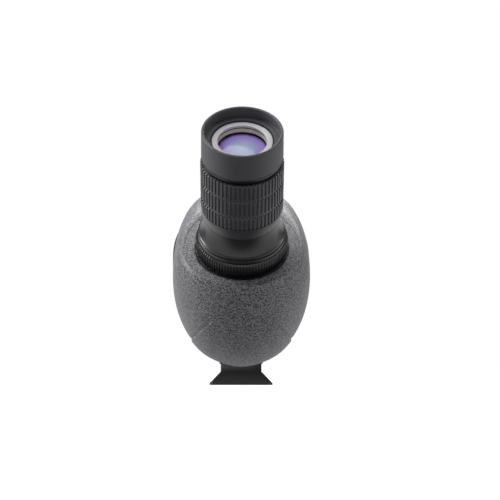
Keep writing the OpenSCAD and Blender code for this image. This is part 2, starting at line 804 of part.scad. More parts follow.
module prism_bracket() {
    plate_top = prism_top + 3;
    color([0.14, 0.14, 0.14]) difference() {
        union() {
            translate([-prism_half - cheek_gap - cheek_t, entry_y, axis_h - prism_foot])
                cube([2 * (prism_half + cheek_gap + cheek_t), bracket_t, prism_foot + plate_top]);
            translate([-prism_boss_x1 + 2, entry_y, axis_h - prism_boss_half_h])
                cube([2 * prism_boss_x1 - 4, bracket_t, 2 * prism_boss_half_h]);
            for (side = [-1, 1]) translate([side * (prism_half + cheek_gap + cheek_t / 2), 0, 0])
                across_x(cheek_t) intersection() {
                    prism_outline();
                    translate([entry_y - exit_len * 0.84, -prism_side]) square(3 * prism_side);
                }
        }
        on_main(entry_y - 1) cylinder(r = aperture_r, h = bracket_t + 2);
        at_prism_screws(-1) cylinder(r = prism_screw_r + seat_gap, h = bracket_t + 2);
    }
}

module prism_clamp() {
    exit_y = entry_y - exit_len / 2;
    exit_z = axis_h + prism_top - exit_len / 2;
    exit_mid = ((port_z - exit_z) - (port_y - exit_y)) / sqrt(2);
    color([0.7, 0.7, 0.68]) on_eye(-exit_mid) difference() {
        translate([-prism_half - cheek_gap - cheek_t, -prism_half - 6, 0])
            cube([2 * (prism_half + cheek_gap + cheek_t), prism_side + 6, 0.8]);
        translate([0, 0, -1]) cylinder(r = aperture_r, h = 3);
    }
}

module prism_screws() {
    color([0.6, 0.6, 0.62]) at_prism_screws(-prism_screw_depth) {
        cylinder(r = prism_screw_r, h = prism_screw_depth + bracket_t + 1);
        translate([0, 0, prism_screw_depth + bracket_t]) cylinder(r = 2.8, h = 1.8);
    }
}

// ================= Eyepiece port =================

module eyepiece_socket() {
    color([0.55, 0.55, 0.56]) on_eye() difference() {
        union() {
            translate([0, 0, window_t0 - 1]) cylinder(r = socket_r, h = socket_top_t - window_t0 + 1);
            translate([0, 0, port_face_t]) cylinder(r = lock_ring_r, h = socket_flange_t - port_face_t);
            cylinder(r = neck_r, h = socket_top_t);
        }
        translate([0, 0, -30]) cylinder(r = window_r - 1.5, h = 60);
        translate([0, 0, window_t0]) cylinder(r = window_r + 0.1, h = 30);
        translate([0, 0, window_t1]) cylinder(r = window_r + 1, h = 30);
        translate([0, 0, window_ring_t1]) cylinder(r = socket_bore, h = 30);
        at_socket_screws(port_face_t - 1) {
            cylinder(r = small_screw_r + seat_gap, h = 4);
            translate([0, 0, 1.7]) cylinder(r = 1.6, h = 4);
        }
    }
}

module socket_screws() {
    color([0.6, 0.6, 0.62]) on_eye() at_socket_screws(port_face_t) {
        translate([0, 0, -socket_screw_depth]) cylinder(r = small_screw_r, h = socket_screw_depth + 0.8);
        translate([0, 0, 0.7]) cylinder(r = 1.5, h = 0.7);
    }
}

module port_window() {
    color([0.8, 0.9, 0.9, 0.4]) on_eye(window_t0) cylinder(r = window_r, h = window_t1 - window_t0);
}

module window_retainer() {
    color([0.1, 0.1, 0.1]) on_eye() tube(window_r + 1, window_r - 1.5, window_t1, window_ring_t1 - 0.1);
}

module socket_o_ring() {
    color([0.05, 0.05, 0.05]) on_eye(socket_top_t + 0.2) o_ring(spigot_r + 1.4, 0.19);
}

// ================= Eyepiece =================

module guide_tube() {
    color([0.09, 0.09, 0.09]) on_eye() difference() {
        union() {
            translate([0, 0, spigot_t0]) cylinder(r = spigot_r, h = captive_t0 - spigot_t0 + 1);
            translate([0, 0, captive_t0]) cylinder(r = neck_r - 0.3, h = captive_t1 - captive_t0);
            translate([0, 0, captive_t1 - 1]) cylinder(r = guide_seat_r, h = guide_seat_t1 - captive_t1 + 1);
            translate([0, 0, guide_seat_t1 - 1]) cylinder(r = guide_r, h = guide_t1 - guide_seat_t1 + 1);
        }
        translate([0, 0, spigot_t0 - 1]) cylinder(r = guide_bore_r, h = guide_t1 - spigot_t0 + 2);
        pin_slot(lower_pin_angle, lower_pin_t, lower_pin_t + lower_zoom_travel);
        pin_slot(upper_pin_angle, upper_pin_t - upper_zoom_travel, upper_pin_t);
    }
}

// A straight slot through the guide tube's wall for a cam pin
module pin_slot(angle, low_t, high_t) {
    rotate([0, 0, angle]) translate([guide_bore_r - 2, -pin_slot_half, low_t - pin_slot_half])
        cube([8, 2 * pin_slot_half, high_t - low_t + 2 * pin_slot_half]);
}

module eyepiece_barrel() {
    waist_t = barrel_t0 + 4.2;
    rim_r = lock_ring_r - 1.2;
    color([0.2, 0.2, 0.21]) on_eye() rotate_extrude() polygon([
        [guide_seat_r, barrel_t0], [rim_r, barrel_t0], [rim_r, barrel_t0 + 2.1],
        [rim_r - 0.5, barrel_t0 + 2.4], [rim_r - 0.5, barrel_t0 + 2.8],
        [rim_r - 0.3, barrel_t0 + 3], [rim_r - 0.3, waist_t],
        for (k = [0:6]) [
            barrel_neck_r + (rim_r - 0.8 - barrel_neck_r) * pow(1 - k / 6, 2.2),
            waist_t + (barrel_t1 - waist_t) * k / 6
        ],
        [guide_r + 2, barrel_t1], [guide_r + 2, guide_seat_t1 + 2], [guide_r, guide_seat_t1 + 2],
        [guide_r, guide_seat_t1], [guide_seat_r, guide_seat_t1]
    ]);
}

module lock_ring() {
    color([0.03, 0.03, 0.03]) on_eye() difference() {
        union() {
            translate([0, 0, lock_t0]) cylinder(r = lock_ring_r - 0.55, h = lock_ring_h);
            translate([0, 0, lock_t0 + 0.5]) linear_extrude(height = lock_ring_h - 0.9)
                polygon(toothed(lock_ring_r - 0.6, lock_ring_r, 96, 0.4));
        }
        translate([0, 0, lock_t0 - 1]) cylinder(r = neck_r + run_fit, h = captive_t1 + 0.2 - lock_t0 + 1);
        translate([0, 0, lock_t0 - 1]) cylinder(r = guide_seat_r + ring_fit, h = lock_ring_h + 2);
    }
}

module upper_collar() {
    color([0.03, 0.03, 0.03]) on_eye() {
        tube(collar_r, guide_r, collar_t0, collar_t0 + collar_floor_t);
        tube(collar_r, sleeve_r + 0.35, collar_t0, collar_t1);
    }
}

module eyecup_guide() {
    color([0.12, 0.12, 0.12]) on_eye() difference() {
        tube(cup_guide_r, cup_guide_in, collar_t0 + collar_floor_t, cup_guide_t1);
        at_keys() translate([-1, -key_r - key_gap, -key_r - key_gap]) cube([6, 2 * (key_r + key_gap), 30]);
    }
}

module lens_housing() {
    color([0.06, 0.06, 0.06]) on_eye() difference() {
        union() {
            translate([0, 0, housing_t0]) cylinder(r = guide_bore_r, h = guide_t1 - housing_t0 + 1);
            translate([0, 0, guide_t1]) cylinder(r = guide_r, h = housing_seat_t - guide_t1);
            translate([0, 0, guide_t1]) cylinder(r = housing_r, h = housing_t1 - guide_t1);
        }
        translate([0, 0, housing_t0 - 1]) cylinder(r = inner_eye_r - 1, h = 40);
        translate([0, 0, housing_t0 + 2]) cylinder(r = inner_eye_r + lens_fit, h = 40);
        translate([0, 0, eye_t0]) cylinder(r = eye_r + lens_fit, h = 40);
        translate([0, 0, eye_edge_top + 0.1]) cylinder(r = eye_r + 1.2, h = 40);
        translate([0, 0, ring_t0]) cylinder(r = housing_r - ring_wall, h = 10);
    }
}

module inner_eye_lens() {
    color([0.75, 0.85, 0.85, 0.5]) on_eye(inner_eye_t0) lens(inner_eye_r, 3, 0, 45);
}

module eye_lens() {
    color([0.62, 0.5, 0.75, 0.7]) on_eye(eye_t0) lens(eye_r, eye_edge_t, 0, eye_top_curve);
}

module bore_sleeve() {
    color([0.62, 0.62, 0.58]) on_eye() difference() {
        translate([0, 0, eye_edge_top + 0.1]) cylinder(r = eye_r + 1.2, h = ring_t0 - eye_edge_top - 0.1);
        translate([0, 0, eye_edge_top - 1]) cylinder(r = eye_r - 0.2, h = 10);
        translate([0, 0, eye_edge_top + 1.2]) cylinder(r1 = eye_r - 0.2, r2 = eye_r + 0.6, h = 2.5);
    }
}

module eye_ring() {
    color([0.72, 0.72, 0.74]) on_eye() tube(housing_r - ring_wall, eye_r, ring_t0, housing_t1);
}

// ================= Zoom =================

module zoom_ring() {
    smooth_t1 = zoom_t0 + zoom_smooth_h;
    bore_r = cam_r + seat_gap;
    color([0.22, 0.22, 0.23]) on_eye() difference() {
        rotate_extrude() polygon([
            [bore_r, zoom_t0], [collar_r - 0.3, zoom_t0], [collar_r, zoom_t0 + 0.4],
            for (k = [1:5]) [
                collar_r + (zoom_grip_r - 0.15 - collar_r) * sin(k * 18),
                zoom_t0 + 0.4 + (zoom_smooth_h - 0.6) * k / 5
            ],
            [zoom_grip_r - 0.3, smooth_t1], [grip_base_r, smooth_t1 + 0.3], [grip_base_r, zoom_t1],
            [bore_r, zoom_t1]
        ]);
        cam_screw_holes();
    }
}

module zoom_grip() {
    base_r = zoom_grip_r - grip_rib_h;
    color([0.21, 0.21, 0.23]) on_eye() difference() {
        union() {
            translate([0, 0, grip_t0]) cylinder(r = base_r, h = zoom_t1 - grip_t0);
            for (ends = grip_row_ends) translate([0, 0, grip_t0 + ends[0]])
                linear_extrude(height = ends[1] - ends[0])
                    polygon(toothed(base_r - 0.1, zoom_grip_r, grip_rib_count, 0.52));
        }
        translate([0, 0, grip_t0 - 1]) cylinder(r = grip_base_r, h = zoom_t1 - grip_t0 + 2);
    }
}

// A spiral slot through the cam tube's wall, cut by a row of radial holes
module cam_slot(angle, start_t, travel) {
    for (k = [0:cam_steps]) rotate([0, 0, angle - zoom_angle * k / cam_steps])
        translate([cam_in - 2, 0, start_t + travel * k / cam_steps]) rotate([0, 90, 0])
            cylinder(r = cam_slot_r, h = 6, $fn = 24);
}

module cam_tube() {
    color([0.75, 0.7, 0.5]) on_eye() difference() {
        tube(cam_r, cam_in, cam_t0, cam_t1);
        cam_slot(lower_pin_angle, lower_pin_t, lower_zoom_travel);
        cam_slot(upper_pin_angle, upper_pin_t, -upper_zoom_travel);
        cam_screw_holes();
    }
}

// Places children at the three screws that join the cam tube to the zoom ring, local +Z pointing outwards
module at_cam_screws() {
    for (i = [0:2]) rotate([0, 0, i * 120 + 75]) translate([cam_in, 0, cam_t1 - 2.4])
        rotate([0, 90, 0]) children();
}

module cam_screw_holes() {
    at_cam_screws() translate([0, 0, -1]) cylinder(r = cam_screw_r + seat_gap, h = 8);
}

module cam_screws() {
    color([0.6, 0.6, 0.6]) on_eye() at_cam_screws() translate([0, 0, 0.4])
        cylinder(r = cam_screw_r, h = grip_base_r - cam_in - 0.5);
}

// One lens cell of the zoom, with its seat and the hole for its pin
module zoom_cell(t0, length, pin_t, angle) {
    on_eye() difference() {
        translate([0, 0, t0]) cylinder(r = zoom_cell_r, h = length);
        translate([0, 0, t0 - 1]) cylinder(r = zoom_cell_in - 1.4, h = length + 2);
        translate([0, 0, t0 + 1]) cylinder(r = zoom_cell_in, h = length);
        rotate([0, 0, angle]) translate([0, 0, pin_t]) rotate([0, 90, 0]) cylinder(r = cam_pin_r, h = 30);
    }
}

// The pin that joins a zoom cell to the cam tube
module cam_pin(pin_t, angle) {
    on_eye() rotate([0, 0, angle]) translate([zoom_cell_in + 0.1, 0, pin_t]) rotate([0, 90, 0])
        cylinder(r = cam_pin_r, h = cam_r - free_gap - zoom_cell_in - 0.1);
}

module lower_zoom_cell() {
    color([0.1, 0.1, 0.1]) zoom_cell(lower_cell_t0, lower_cell_len, lower_pin_t, lower_pin_angle);
}

module lower_zoom_lens() {
    color([0.75, 0.85, 0.85, 0.5]) on_eye(lower_cell_t0 + 1) lens(zoom_cell_in, 4, -40, 0);
}

module lower_cam_pin() {
    color([0.7, 0.7, 0.7]) cam_pin(lower_pin_t, lower_pin_angle);
}

module upper_zoom_cell() {
    color([0.1, 0.1, 0.1]) zoom_cell(upper_cell_t0, upper_cell_len, upper_pin_t, upper_pin_angle);
}

module upper_zoom_lens() {
    color([0.75, 0.85, 0.85, 0.5]) on_eye(upper_cell_t0 + 1) lens(zoom_cell_in, 3, 0, 60);
}

module upper_cam_pin() {
    color([0.7, 0.7, 0.7]) cam_pin(upper_pin_t, upper_pin_angle);
}

// ================= Eyecup =================

// Places children at the three guide keys: local +X outwards from the guide's bore, +Z to the eye
module at_keys() {
    for (i = [0:2]) rotate([0, 0, i * 120 + 60]) translate([cup_guide_in, 0, key_t]) children();
}

module eyecup_sleeve() {
    color([0.25, 0.25, 0.25]) on_eye() tube(sleeve_r, sleeve_in, sleeve_t0, sleeve_t1);
}

module eyecup_keys() {
    key_end_r = sqrt(sleeve_in * sleeve_in - key_r * key_r);
    color([0.7, 0.7, 0.7]) on_eye() at_keys() rotate([0, 90, 0]) translate([0, 0, 0.2])
        cylinder(r = key_r, h = key_end_r - cup_guide_in - 0.2);
}

module eyecup() {
    rim_soft = 0.5;
    color([0.25, 0.25, 0.27]) on_eye() rotate_extrude() polygon([
        [cup_bore, cup_t0], [eyecup_r - 0.2, cup_t0], [eyecup_r, cup_t0 + 0.2],
        [cup_rim_r, cup_t1 - rim_soft], [cup_rim_r - 0.15, cup_t1 - 0.15], [cup_rim_r - rim_soft, cup_t1],
        [cup_inner_r + rim_soft, cup_t1], [cup_inner_r + 0.15, cup_t1 - 0.15],
        [cup_inner_r, cup_t1 - rim_soft], [cup_inner_r, cup_floor_t1],
        [cup_floor_hole, cup_floor_t1], [cup_floor_hole, cup_floor_t0], [cup_bore, cup_floor_t0]
    ]);
}

main_casing();
rear_armour();
belly_armour();
front_armour();
tripod_foot();
foot_screws();
main_tube();
tube_flange_screws();
light_baffles();
focus_stop_ring();
focus_seals();
objective_barrel();
sunshade_felts();
objective_cell();
crown_lens();
flint_lens();
lens_spacer();
objective_retaining_ring();
objective_seal();
prism_bracket();
roof_prism();
prism_clamp();
prism_screws();
eyepiece_socket();
socket_screws();
port_window();
window_retainer();
socket_o_ring();
focus_ring();
focus_grip();
focus_cell();
focus_lens();
focus_lens_retainer();
focus_pin();
sunshade();
sunshade_bumper();
guide_tube();
eyepiece_barrel();
lock_ring();
upper_collar();
eyecup_guide();
lens_housing();
eye_lens();
inner_eye_lens();
eye_ring();
bore_sleeve();
zoom_ring();
zoom_grip();
cam_tube();
cam_screws();
lower_zoom_cell();
lower_zoom_lens();
lower_cam_pin();
upper_zoom_cell();
upper_zoom_lens();
upper_cam_pin();
eyecup_sleeve();
eyecup_keys();
eyecup();
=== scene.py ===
"""Looks of the angled spotting scope: dense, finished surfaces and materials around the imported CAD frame.

Lengths are written in millimetres and turned into metres by MM. Rings on the eyepiece axis are drawn as
(radius, t) profiles, with t counted along that axis; rings on the main axis use (radius, y) in the same way.
Where a ring sits and how large it is comes from the CAD node that it stands for.
"""
import json
import math

import bpy
import bmesh
import numpy as np
from mathutils import Matrix, Vector


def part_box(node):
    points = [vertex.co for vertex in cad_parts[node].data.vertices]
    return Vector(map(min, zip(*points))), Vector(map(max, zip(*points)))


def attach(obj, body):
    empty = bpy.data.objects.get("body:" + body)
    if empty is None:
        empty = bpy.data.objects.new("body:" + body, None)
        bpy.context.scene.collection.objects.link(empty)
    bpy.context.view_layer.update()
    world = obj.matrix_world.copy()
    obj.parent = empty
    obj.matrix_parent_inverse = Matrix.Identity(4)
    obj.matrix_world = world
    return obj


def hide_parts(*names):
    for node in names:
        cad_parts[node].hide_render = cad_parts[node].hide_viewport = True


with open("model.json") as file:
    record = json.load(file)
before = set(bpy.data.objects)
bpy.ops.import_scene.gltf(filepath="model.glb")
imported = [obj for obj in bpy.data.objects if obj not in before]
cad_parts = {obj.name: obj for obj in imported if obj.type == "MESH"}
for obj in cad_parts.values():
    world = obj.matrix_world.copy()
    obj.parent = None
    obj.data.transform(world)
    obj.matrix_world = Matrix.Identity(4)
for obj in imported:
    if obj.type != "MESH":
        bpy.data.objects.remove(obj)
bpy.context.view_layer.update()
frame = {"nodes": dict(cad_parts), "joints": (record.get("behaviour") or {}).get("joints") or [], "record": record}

MM = 0.001
JOINTS = {joint["name"]: joint for joint in frame["joints"]}
NODES = frame["nodes"]


# ---------------------------------------------------------------- axes and measured CAD rings

def axis_frame(joint_name):
    """Matrix from (across, up, along) on a hinge's axis to the row frame; across stays on world X."""
    joint = JOINTS[joint_name]
    along = Vector(joint["axis"]).normalized()
    across = Vector((1, 0, 0))
    up = along.cross(across)
    turn = Matrix((across, up, along)).transposed().to_4x4()
    return Matrix.Translation(Vector(joint["pos_m"])) @ turn


EYE = axis_frame("zoom_turn")
MAIN = axis_frame("focus_turn")
MAIN = Matrix.Translation((0, -MAIN.translation.y, 0)) @ MAIN


def ring_of(node, axis):
    """(inner radius, outer radius, low end, high end) in mm of a CAD ring about an axis."""
    points = np.array([v.co for v in NODES[node].data.vertices])
    inverse = np.array(axis.inverted())
    local = (points @ inverse[:3, :3].T + inverse[:3, 3]) / MM
    radii = np.hypot(local[:, 0], local[:, 1])
    return radii.min(), radii.max(), local[:, 2].min(), local[:, 2].max()


# ---------------------------------------------------------------- mesh helpers

SHARP_ANGLE = math.radians(40)


def make_object(name, vertices, faces, body, material, replaces=(), sharp=SHARP_ANGLE):
    """Turns vertices in metres and faces into a smooth shaded piece that rides on a body."""
    mesh = bpy.data.meshes.new(name)
    mesh.from_pydata([tuple(v) for v in vertices], [], faces)
    work = bmesh.new()
    work.from_mesh(mesh)
    bmesh.ops.remove_doubles(work, verts=work.verts, dist=2e-6)
    bmesh.ops.dissolve_degenerate(work, edges=work.edges, dist=1e-6)
    bmesh.ops.recalc_face_normals(work, faces=work.faces)
    work.to_mesh(mesh)
    work.free()
    mesh.shade_smooth()
    mesh.set_sharp_from_angle(angle=sharp)
    piece = bpy.data.objects.new(name, mesh)
    bpy.context.scene.collection.objects.link(piece)
    mesh.materials.append(material)
    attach(piece, body)
    if replaces:
        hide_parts(*replaces)
    return piece


def fillet(points, radius, steps=3):
    """A closed outline with each corner rounded; radius is one number or one per corner."""
    out = []
    count = len(points)
    for i, corner in enumerate(points):
        r = radius[i] if isinstance(radius, (list, tuple)) else radius
        here = Vector(corner[:2])
        before = Vector(points[i - 1][:2]) - here
        after = Vector(points[(i + 1) % count][:2]) - here
        reach = min(r, before.length * 0.45, after.length * 0.45)
        if reach < 0.01 or before.length < 1e-6 or after.length < 1e-6:
            out.append(tuple(here))
            continue
        start = here + before.normalized() * reach
        end = here + after.normalized() * reach
        for k in range(steps + 1):
            f = k / steps
            out.append(tuple(start * (1 - f) ** 2 + here * 2 * f * (1 - f) + end * f * f))
    return out


def revolve(profile, axis, segments=192):
    """Vertices and faces of a closed (radius, along) outline turned about an axis."""
    vertices = []
    for i in range(segments):
        angle = 2 * math.pi * i / segments
        for r, t in profile:
            vertices.append(axis @ Vector((r * math.cos(angle), r * math.sin(angle), t)) * 1.0)
    n = len(profile)
    faces = []
    for i in range(segments):
        k = (i + 1) % segments
        for j in range(n):
            m = (j + 1) % n
            faces.append((i * n + j, k * n + j, k * n + m, i * n + m))
    return vertices, faces


def lathe(name, profile, axis, body, material, replaces=(), segments=192, sharp=SHARP_ANGLE):
    """A ring from a closed outline in mm."""
    outline = [(r * MM, t * MM) for r, t in profile]
    vertices, faces = revolve(outline, axis, segments)
    return make_object(name, vertices, faces, body, material, replaces, sharp)


def ribbed(name, profile, axis, count, tooth, depth, body, material, replaces=(), sharp=SHARP_ANGLE):
    """A ring whose outline points (radius, along, share) dip by share * depth between its teeth.

    tooth lists (place in the pitch from 0 to 1, height from 0 to 1) once round one tooth.
    """
    vertices = []
    angles = [(i + place, height) for i in range(count) for place, height in tooth]
    for place, height in angles:
        angle = 2 * math.pi * place / count
        for r, t, share in profile:
            radius = (r - share * depth * (1 - height)) * MM
            vertices.append(axis @ Vector((radius * math.cos(angle), radius * math.sin(angle), t * MM)))
    n = len(profile)
    faces = []
    for i in range(len(angles)):
        k = (i + 1) % len(angles)
        for j in range(n):
            m = (j + 1) % n
            faces.append((i * n + j, k * n + j, k * n + m, i * n + m))
    return make_object(name, vertices, faces, body, material, replaces, sharp)


def dome(name, edge_r, low, edge_top, curve, axis, body, material, replaces):
    """A lens with a flat back and a spherical front, drawn as a solid of revolution."""
    rise = curve - math.sqrt(curve * curve - edge_r * edge_r)
    rings = 14
    profile = [(0.001, low), (edge_r - 0.25, low), (edge_r, low + 0.25), (edge_r, edge_top)]
    for k in range(1, rings + 1):
        r = edge_r * (1 - k / rings)
        height = edge_top + rise - (curve - math.sqrt(curve * curve - r * r))
        profile.append((max(r, 0.001), height))
    return lathe(name, profile, axis, body, material, replaces, 96, math.radians(30))


# ---------------------------------------------------------------- materials

def start_material(name):
    """A material with its Principled shader and object coordinates."""
    material = bpy.data.materials.new(name)
    material.use_nodes = True
    tree = material.node_tree
    shader = tree.nodes["Principled BSDF"]
    place = tree.nodes.new("ShaderNodeTexCoord")
    return material, tree, shader, place.outputs["Object"]


def noise(tree, vector, scale, detail=3.0, rough=0.55):
    """A noise texture's value."""
    node = tree.nodes.new("ShaderNodeTexNoise")
    node.inputs["Scale"].default_value = scale
    node.inputs["Detail"].default_value = detail
    node.inputs["Roughness"].default_value = rough
    tree.links.new(vector, node.inputs["Vector"])
    return node.outputs["Fac"]


def ramp(tree, value, stops):
    """A colour ramp over (place, colour) stops; a colour may be one grey number."""
    node = tree.nodes.new("ShaderNodeValToRGB")
    tree.links.new(value, node.inputs["Fac"])
    elements = node.color_ramp.elements
    while len(elements) < len(stops):
        elements.new(0.5)
    for element, (place, colour) in zip(elements, stops):
        element.position = place
        rgb = (colour,) * 3 if isinstance(colour, (int, float)) else colour
        element.color = (*rgb, 1)
    return node.outputs["Color"]


def mix_colour(tree, mode, factor, first, second):
    """Mixes two colour outputs; factor is a number or an output."""
    node = tree.nodes.new("ShaderNodeMix")
    node.data_type = "RGBA"
    node.blend_type = mode
    if isinstance(factor, (int, float)):
        node.inputs["Factor"].default_value = factor
    else:
        tree.links.new(factor, node.inputs["Factor"])
    tree.links.new(first, node.inputs["A"])
    tree.links.new(second, node.inputs["B"])
    return node.outputs["Result"]


def bump(tree, shader, height, distance, strength):
    """Bump on a shader, with its distance in metres."""
    node = tree.nodes.new("ShaderNodeBump")
    node.inputs["Distance"].default_value = distance
    node.inputs["Strength"].default_value = strength
    tree.links.new(height, node.inputs["Height"])
    tree.links.new(node.outputs["Normal"], shader.inputs["Normal"])


def shades(base, spread):
    """A darker and a lighter version of a colour."""
    return [tuple(c * (1 - spread) for c in base), tuple(c * (1 + spread) for c in base)]


def grained(name, base, spread, grain, roughness, bump_depth, specular=0.5, patch=0.12):
    """Moulded rubber or textured paint: fine grain, faint patches, rough sheen that varies with the grain."""
    material, tree, shader, place = start_material(name)
    fine = noise(tree, place, grain, 2.0, 0.6)
    broad = noise(tree, place, grain / 40, 2.0)
    low, high = shades(base, spread)
    colour = ramp(tree, fine, [(0.4, low), (0.6, high)])
    colour = mix_colour(tree, "MULTIPLY", 1.0, colour, ramp(tree, broad, [(0.3, 1 - patch), (0.7, 1.0)]))
    tree.links.new(colour, shader.inputs["Base Color"])
    sheen = ramp(tree, fine, [(0.3, roughness - 0.08), (0.7, roughness + 0.08)])
    tree.links.new(sheen, shader.inputs["Roughness"])
    shader.inputs["Specular IOR Level"].default_value = specular
    bump(tree, shader, fine, bump_depth, 0.7)
    return material


def metal(name, base, roughness, metallic=1.0, grain=1500, spread=0.08, coat=0.0, edge=0.0):
    """Machined or anodised metal, or gloss plastic: faint smudges, and convex edges painted lighter by edge, a painted
    highlight standing in for light catching the chamfers.
    """
    material, tree, shader, place = start_material(name)
    smudge = noise(tree, place, 60, 4.0)
    fine = noise(tree, place, grain, 2.0)
    low, high = shades(base, spread)
    colour = ramp(tree, smudge, [(0.35, low), (0.65, high)])
    # edge paints a highlight: convex edges, found by pointiness, are made lighter to stand in for light catching the
    # chamfers.
    if edge > 0:
        corner = tree.nodes.new("ShaderNodeNewGeometry").outputs["Pointiness"]
        edge_highlight_mask = ramp(tree, corner, [(0.53, 0.0), (0.6, edge)])
        edge_highlight_colour = tree.nodes.new("ShaderNodeRGB")
        edge_highlight_colour.outputs[0].default_value = (*[min(1, c * 3 + 0.12) for c in base], 1)
        colour = mix_colour(tree, "MIX", edge_highlight_mask, colour, edge_highlight_colour.outputs[0])
    tree.links.new(colour, shader.inputs["Base Color"])
    gloss = ramp(tree, smudge, [(0.3, max(0.02, roughness - 0.04)), (0.7, roughness + 0.04)])
    tree.links.new(gloss, shader.inputs["Roughness"])
    shader.inputs["Metallic"].default_value = metallic
    shader.inputs["Coat Weight"].default_value = coat
    bump(tree, shader, fine, 0.00001, 0.3)
    return material


def coated_glass(name, rim, middle, centre, radius, coat=1.0, roughness=0.04):
    """A coated lens face: its colour runs from the middle to the rim round a centre point, in metres. On the eye lens
    the pale middle is a painted reflection of the lamp above.
    """
    material, tree, shader, place = start_material(name)
    shift = tree.nodes.new("ShaderNodeVectorMath")
    shift.operation = "SUBTRACT"
    shift.inputs[1].default_value = centre
    tree.links.new(place, shift.inputs[0])
    length = tree.nodes.new("ShaderNodeVectorMath")
    length.operation = "LENGTH"
    tree.links.new(shift.outputs["Vector"], length.inputs[0])
    share = tree.nodes.new("ShaderNodeMath")
    share.operation = "DIVIDE"
    share.inputs[1].default_value = radius
    tree.links.new(length.outputs["Value"], share.inputs[0])
    blend = [tuple(m * (1 - f) + r * f for m, r in zip(middle, rim)) for f in (0, 0.25, 0.8, 1)]
    colour = ramp(tree, share.outputs[0], list(zip((0.0, 0.35, 0.75, 1.0), blend)))
    haze = noise(tree, place, 120, 2.0)
    colour = mix_colour(tree, "MULTIPLY", 1.0, colour, ramp(tree, haze, [(0.3, 0.96), (0.7, 1.0)]))
    tree.links.new(colour, shader.inputs["Base Color"])
    shader.inputs["Roughness"].default_value = roughness
    shader.inputs["Coat Weight"].default_value = coat
    shader.inputs["Coat Roughness"].default_value = 0.02
    return material


REAR_RUBBER = grained("rear_rubber", (0.130, 0.128, 0.140), 0.8, 1200, 0.5, 0.0003)
FRONT_RUBBER = grained("front_rubber", (0.016, 0.015, 0.017), 0.3, 800, 0.55, 0.00018)
GRIP_RUBBER = grained("grip_rubber", (0.02, 0.02, 0.021), 0.2, 2200, 0.5, 0.00004)
ZOOM_RUBBER = grained("zoom_rubber", (0.062, 0.060, 0.069), 0.15, 2600, 0.28, 0.00002)
CUP_RUBBER = grained("cup_rubber", (0.060, 0.058, 0.067), 0.14, 2200, 0.5, 0.00003)
SHADE_PAINT = grained("shade_paint", (0.11, 0.11, 0.12), 0.25, 1600, 0.5, 0.00006)
CASING_PAINT = grained("casing_paint", (0.025, 0.025, 0.027), 0.2, 1800, 0.5, 0.00005)
FELT = grained("felt", (0.012, 0.012, 0.014), 0.5, 3000, 0.95, 0.0001)
MATTE_BLACK = grained("matte_black", (0.006, 0.006, 0.006), 0.3, 3000, 0.8, 0.00003)
SEAL_RUBBER = grained("seal_rubber", (0.012, 0.012, 0.012), 0.2, 2000, 0.45, 0.00002)
# edge paints a lighter highlight on convex edges: strong on the foot, faint on the anodised rings.
FOOT_METAL = metal("foot_metal", (0.004, 0.0035, 0.004), 0.42, 0.0, edge=0.9)
BLACK_ANODISED = metal("black_anodised", (0.018, 0.018, 0.02), 0.38, 0.0, edge=0.2)
BARREL_SATIN = metal("barrel_satin", (0.012, 0.012, 0.013), 0.30, 0.0, coat=0.2)
ZOOM_METAL = metal("zoom_metal", (0.032, 0.031, 0.035), 0.32, 0.0, coat=0.2)
GLOSS_BLACK = metal("gloss_black", (0.0025, 0.0025, 0.003), 0.12, 0.0, coat=0.15)
SILVER_RING = metal("silver_ring", (0.62, 0.62, 0.63), 0.5, 0.1)
# The light beige of the bore sleeve is a painted reflection seen down the eyepiece bore.
BORE_PAINTED_REFLECTION = metal("sleeve_beige", (0.88, 0.88, 0.66), 0.4, 0.0)
SCREW_STEEL = metal("screw_steel", (0.45, 0.45, 0.46), 0.35)
SPACER_METAL = metal("spacer_metal", (0.5, 0.5, 0.52), 0.35)
CLAMP_STEEL = metal("clamp_steel", (0.55, 0.55, 0.53), 0.3)
SOCKET_METAL = metal("socket_metal", (0.35, 0.35, 0.36), 0.3)
CAM_BRASS = metal("cam_brass", (0.6, 0.42, 0.16), 0.3)

# The eye lens's pale blue middle, set a little off the lens centre, is a painted reflection of the lamp above; the
# violet rim is the coating's own tint.
EYE_LENS_RING = ring_of("eye_lens", EYE)
EYE_LENS_REFLECTION_CENTRE = EYE @ Vector((0.0003, -0.0035, EYE_LENS_RING[3] * MM))
EYE_GLASS = coated_glass("eye_glass", (0.36, 0.22, 0.72), (0.50, 0.62, 0.82), EYE_LENS_REFLECTION_CENTRE, 0.0145, 0.12, 0.2)
OBJECTIVE_RING = ring_of("crown_lens", MAIN)
FRONT_MIDDLE = MAIN @ Vector((0.008, 0.010, OBJECTIVE_RING[3] * MM))
FRONT_GLASS = coated_glass("front_glass", (0.008, 0.012, 0.014), (0.03, 0.055, 0.05), FRONT_MIDDLE, 0.045)
OPTICAL_GLASS = coated_glass("optical_glass", (0.05, 0.07, 0.07), (0.10, 0.13, 0.13), EYE_LENS_REFLECTION_CENTRE, 0.08)

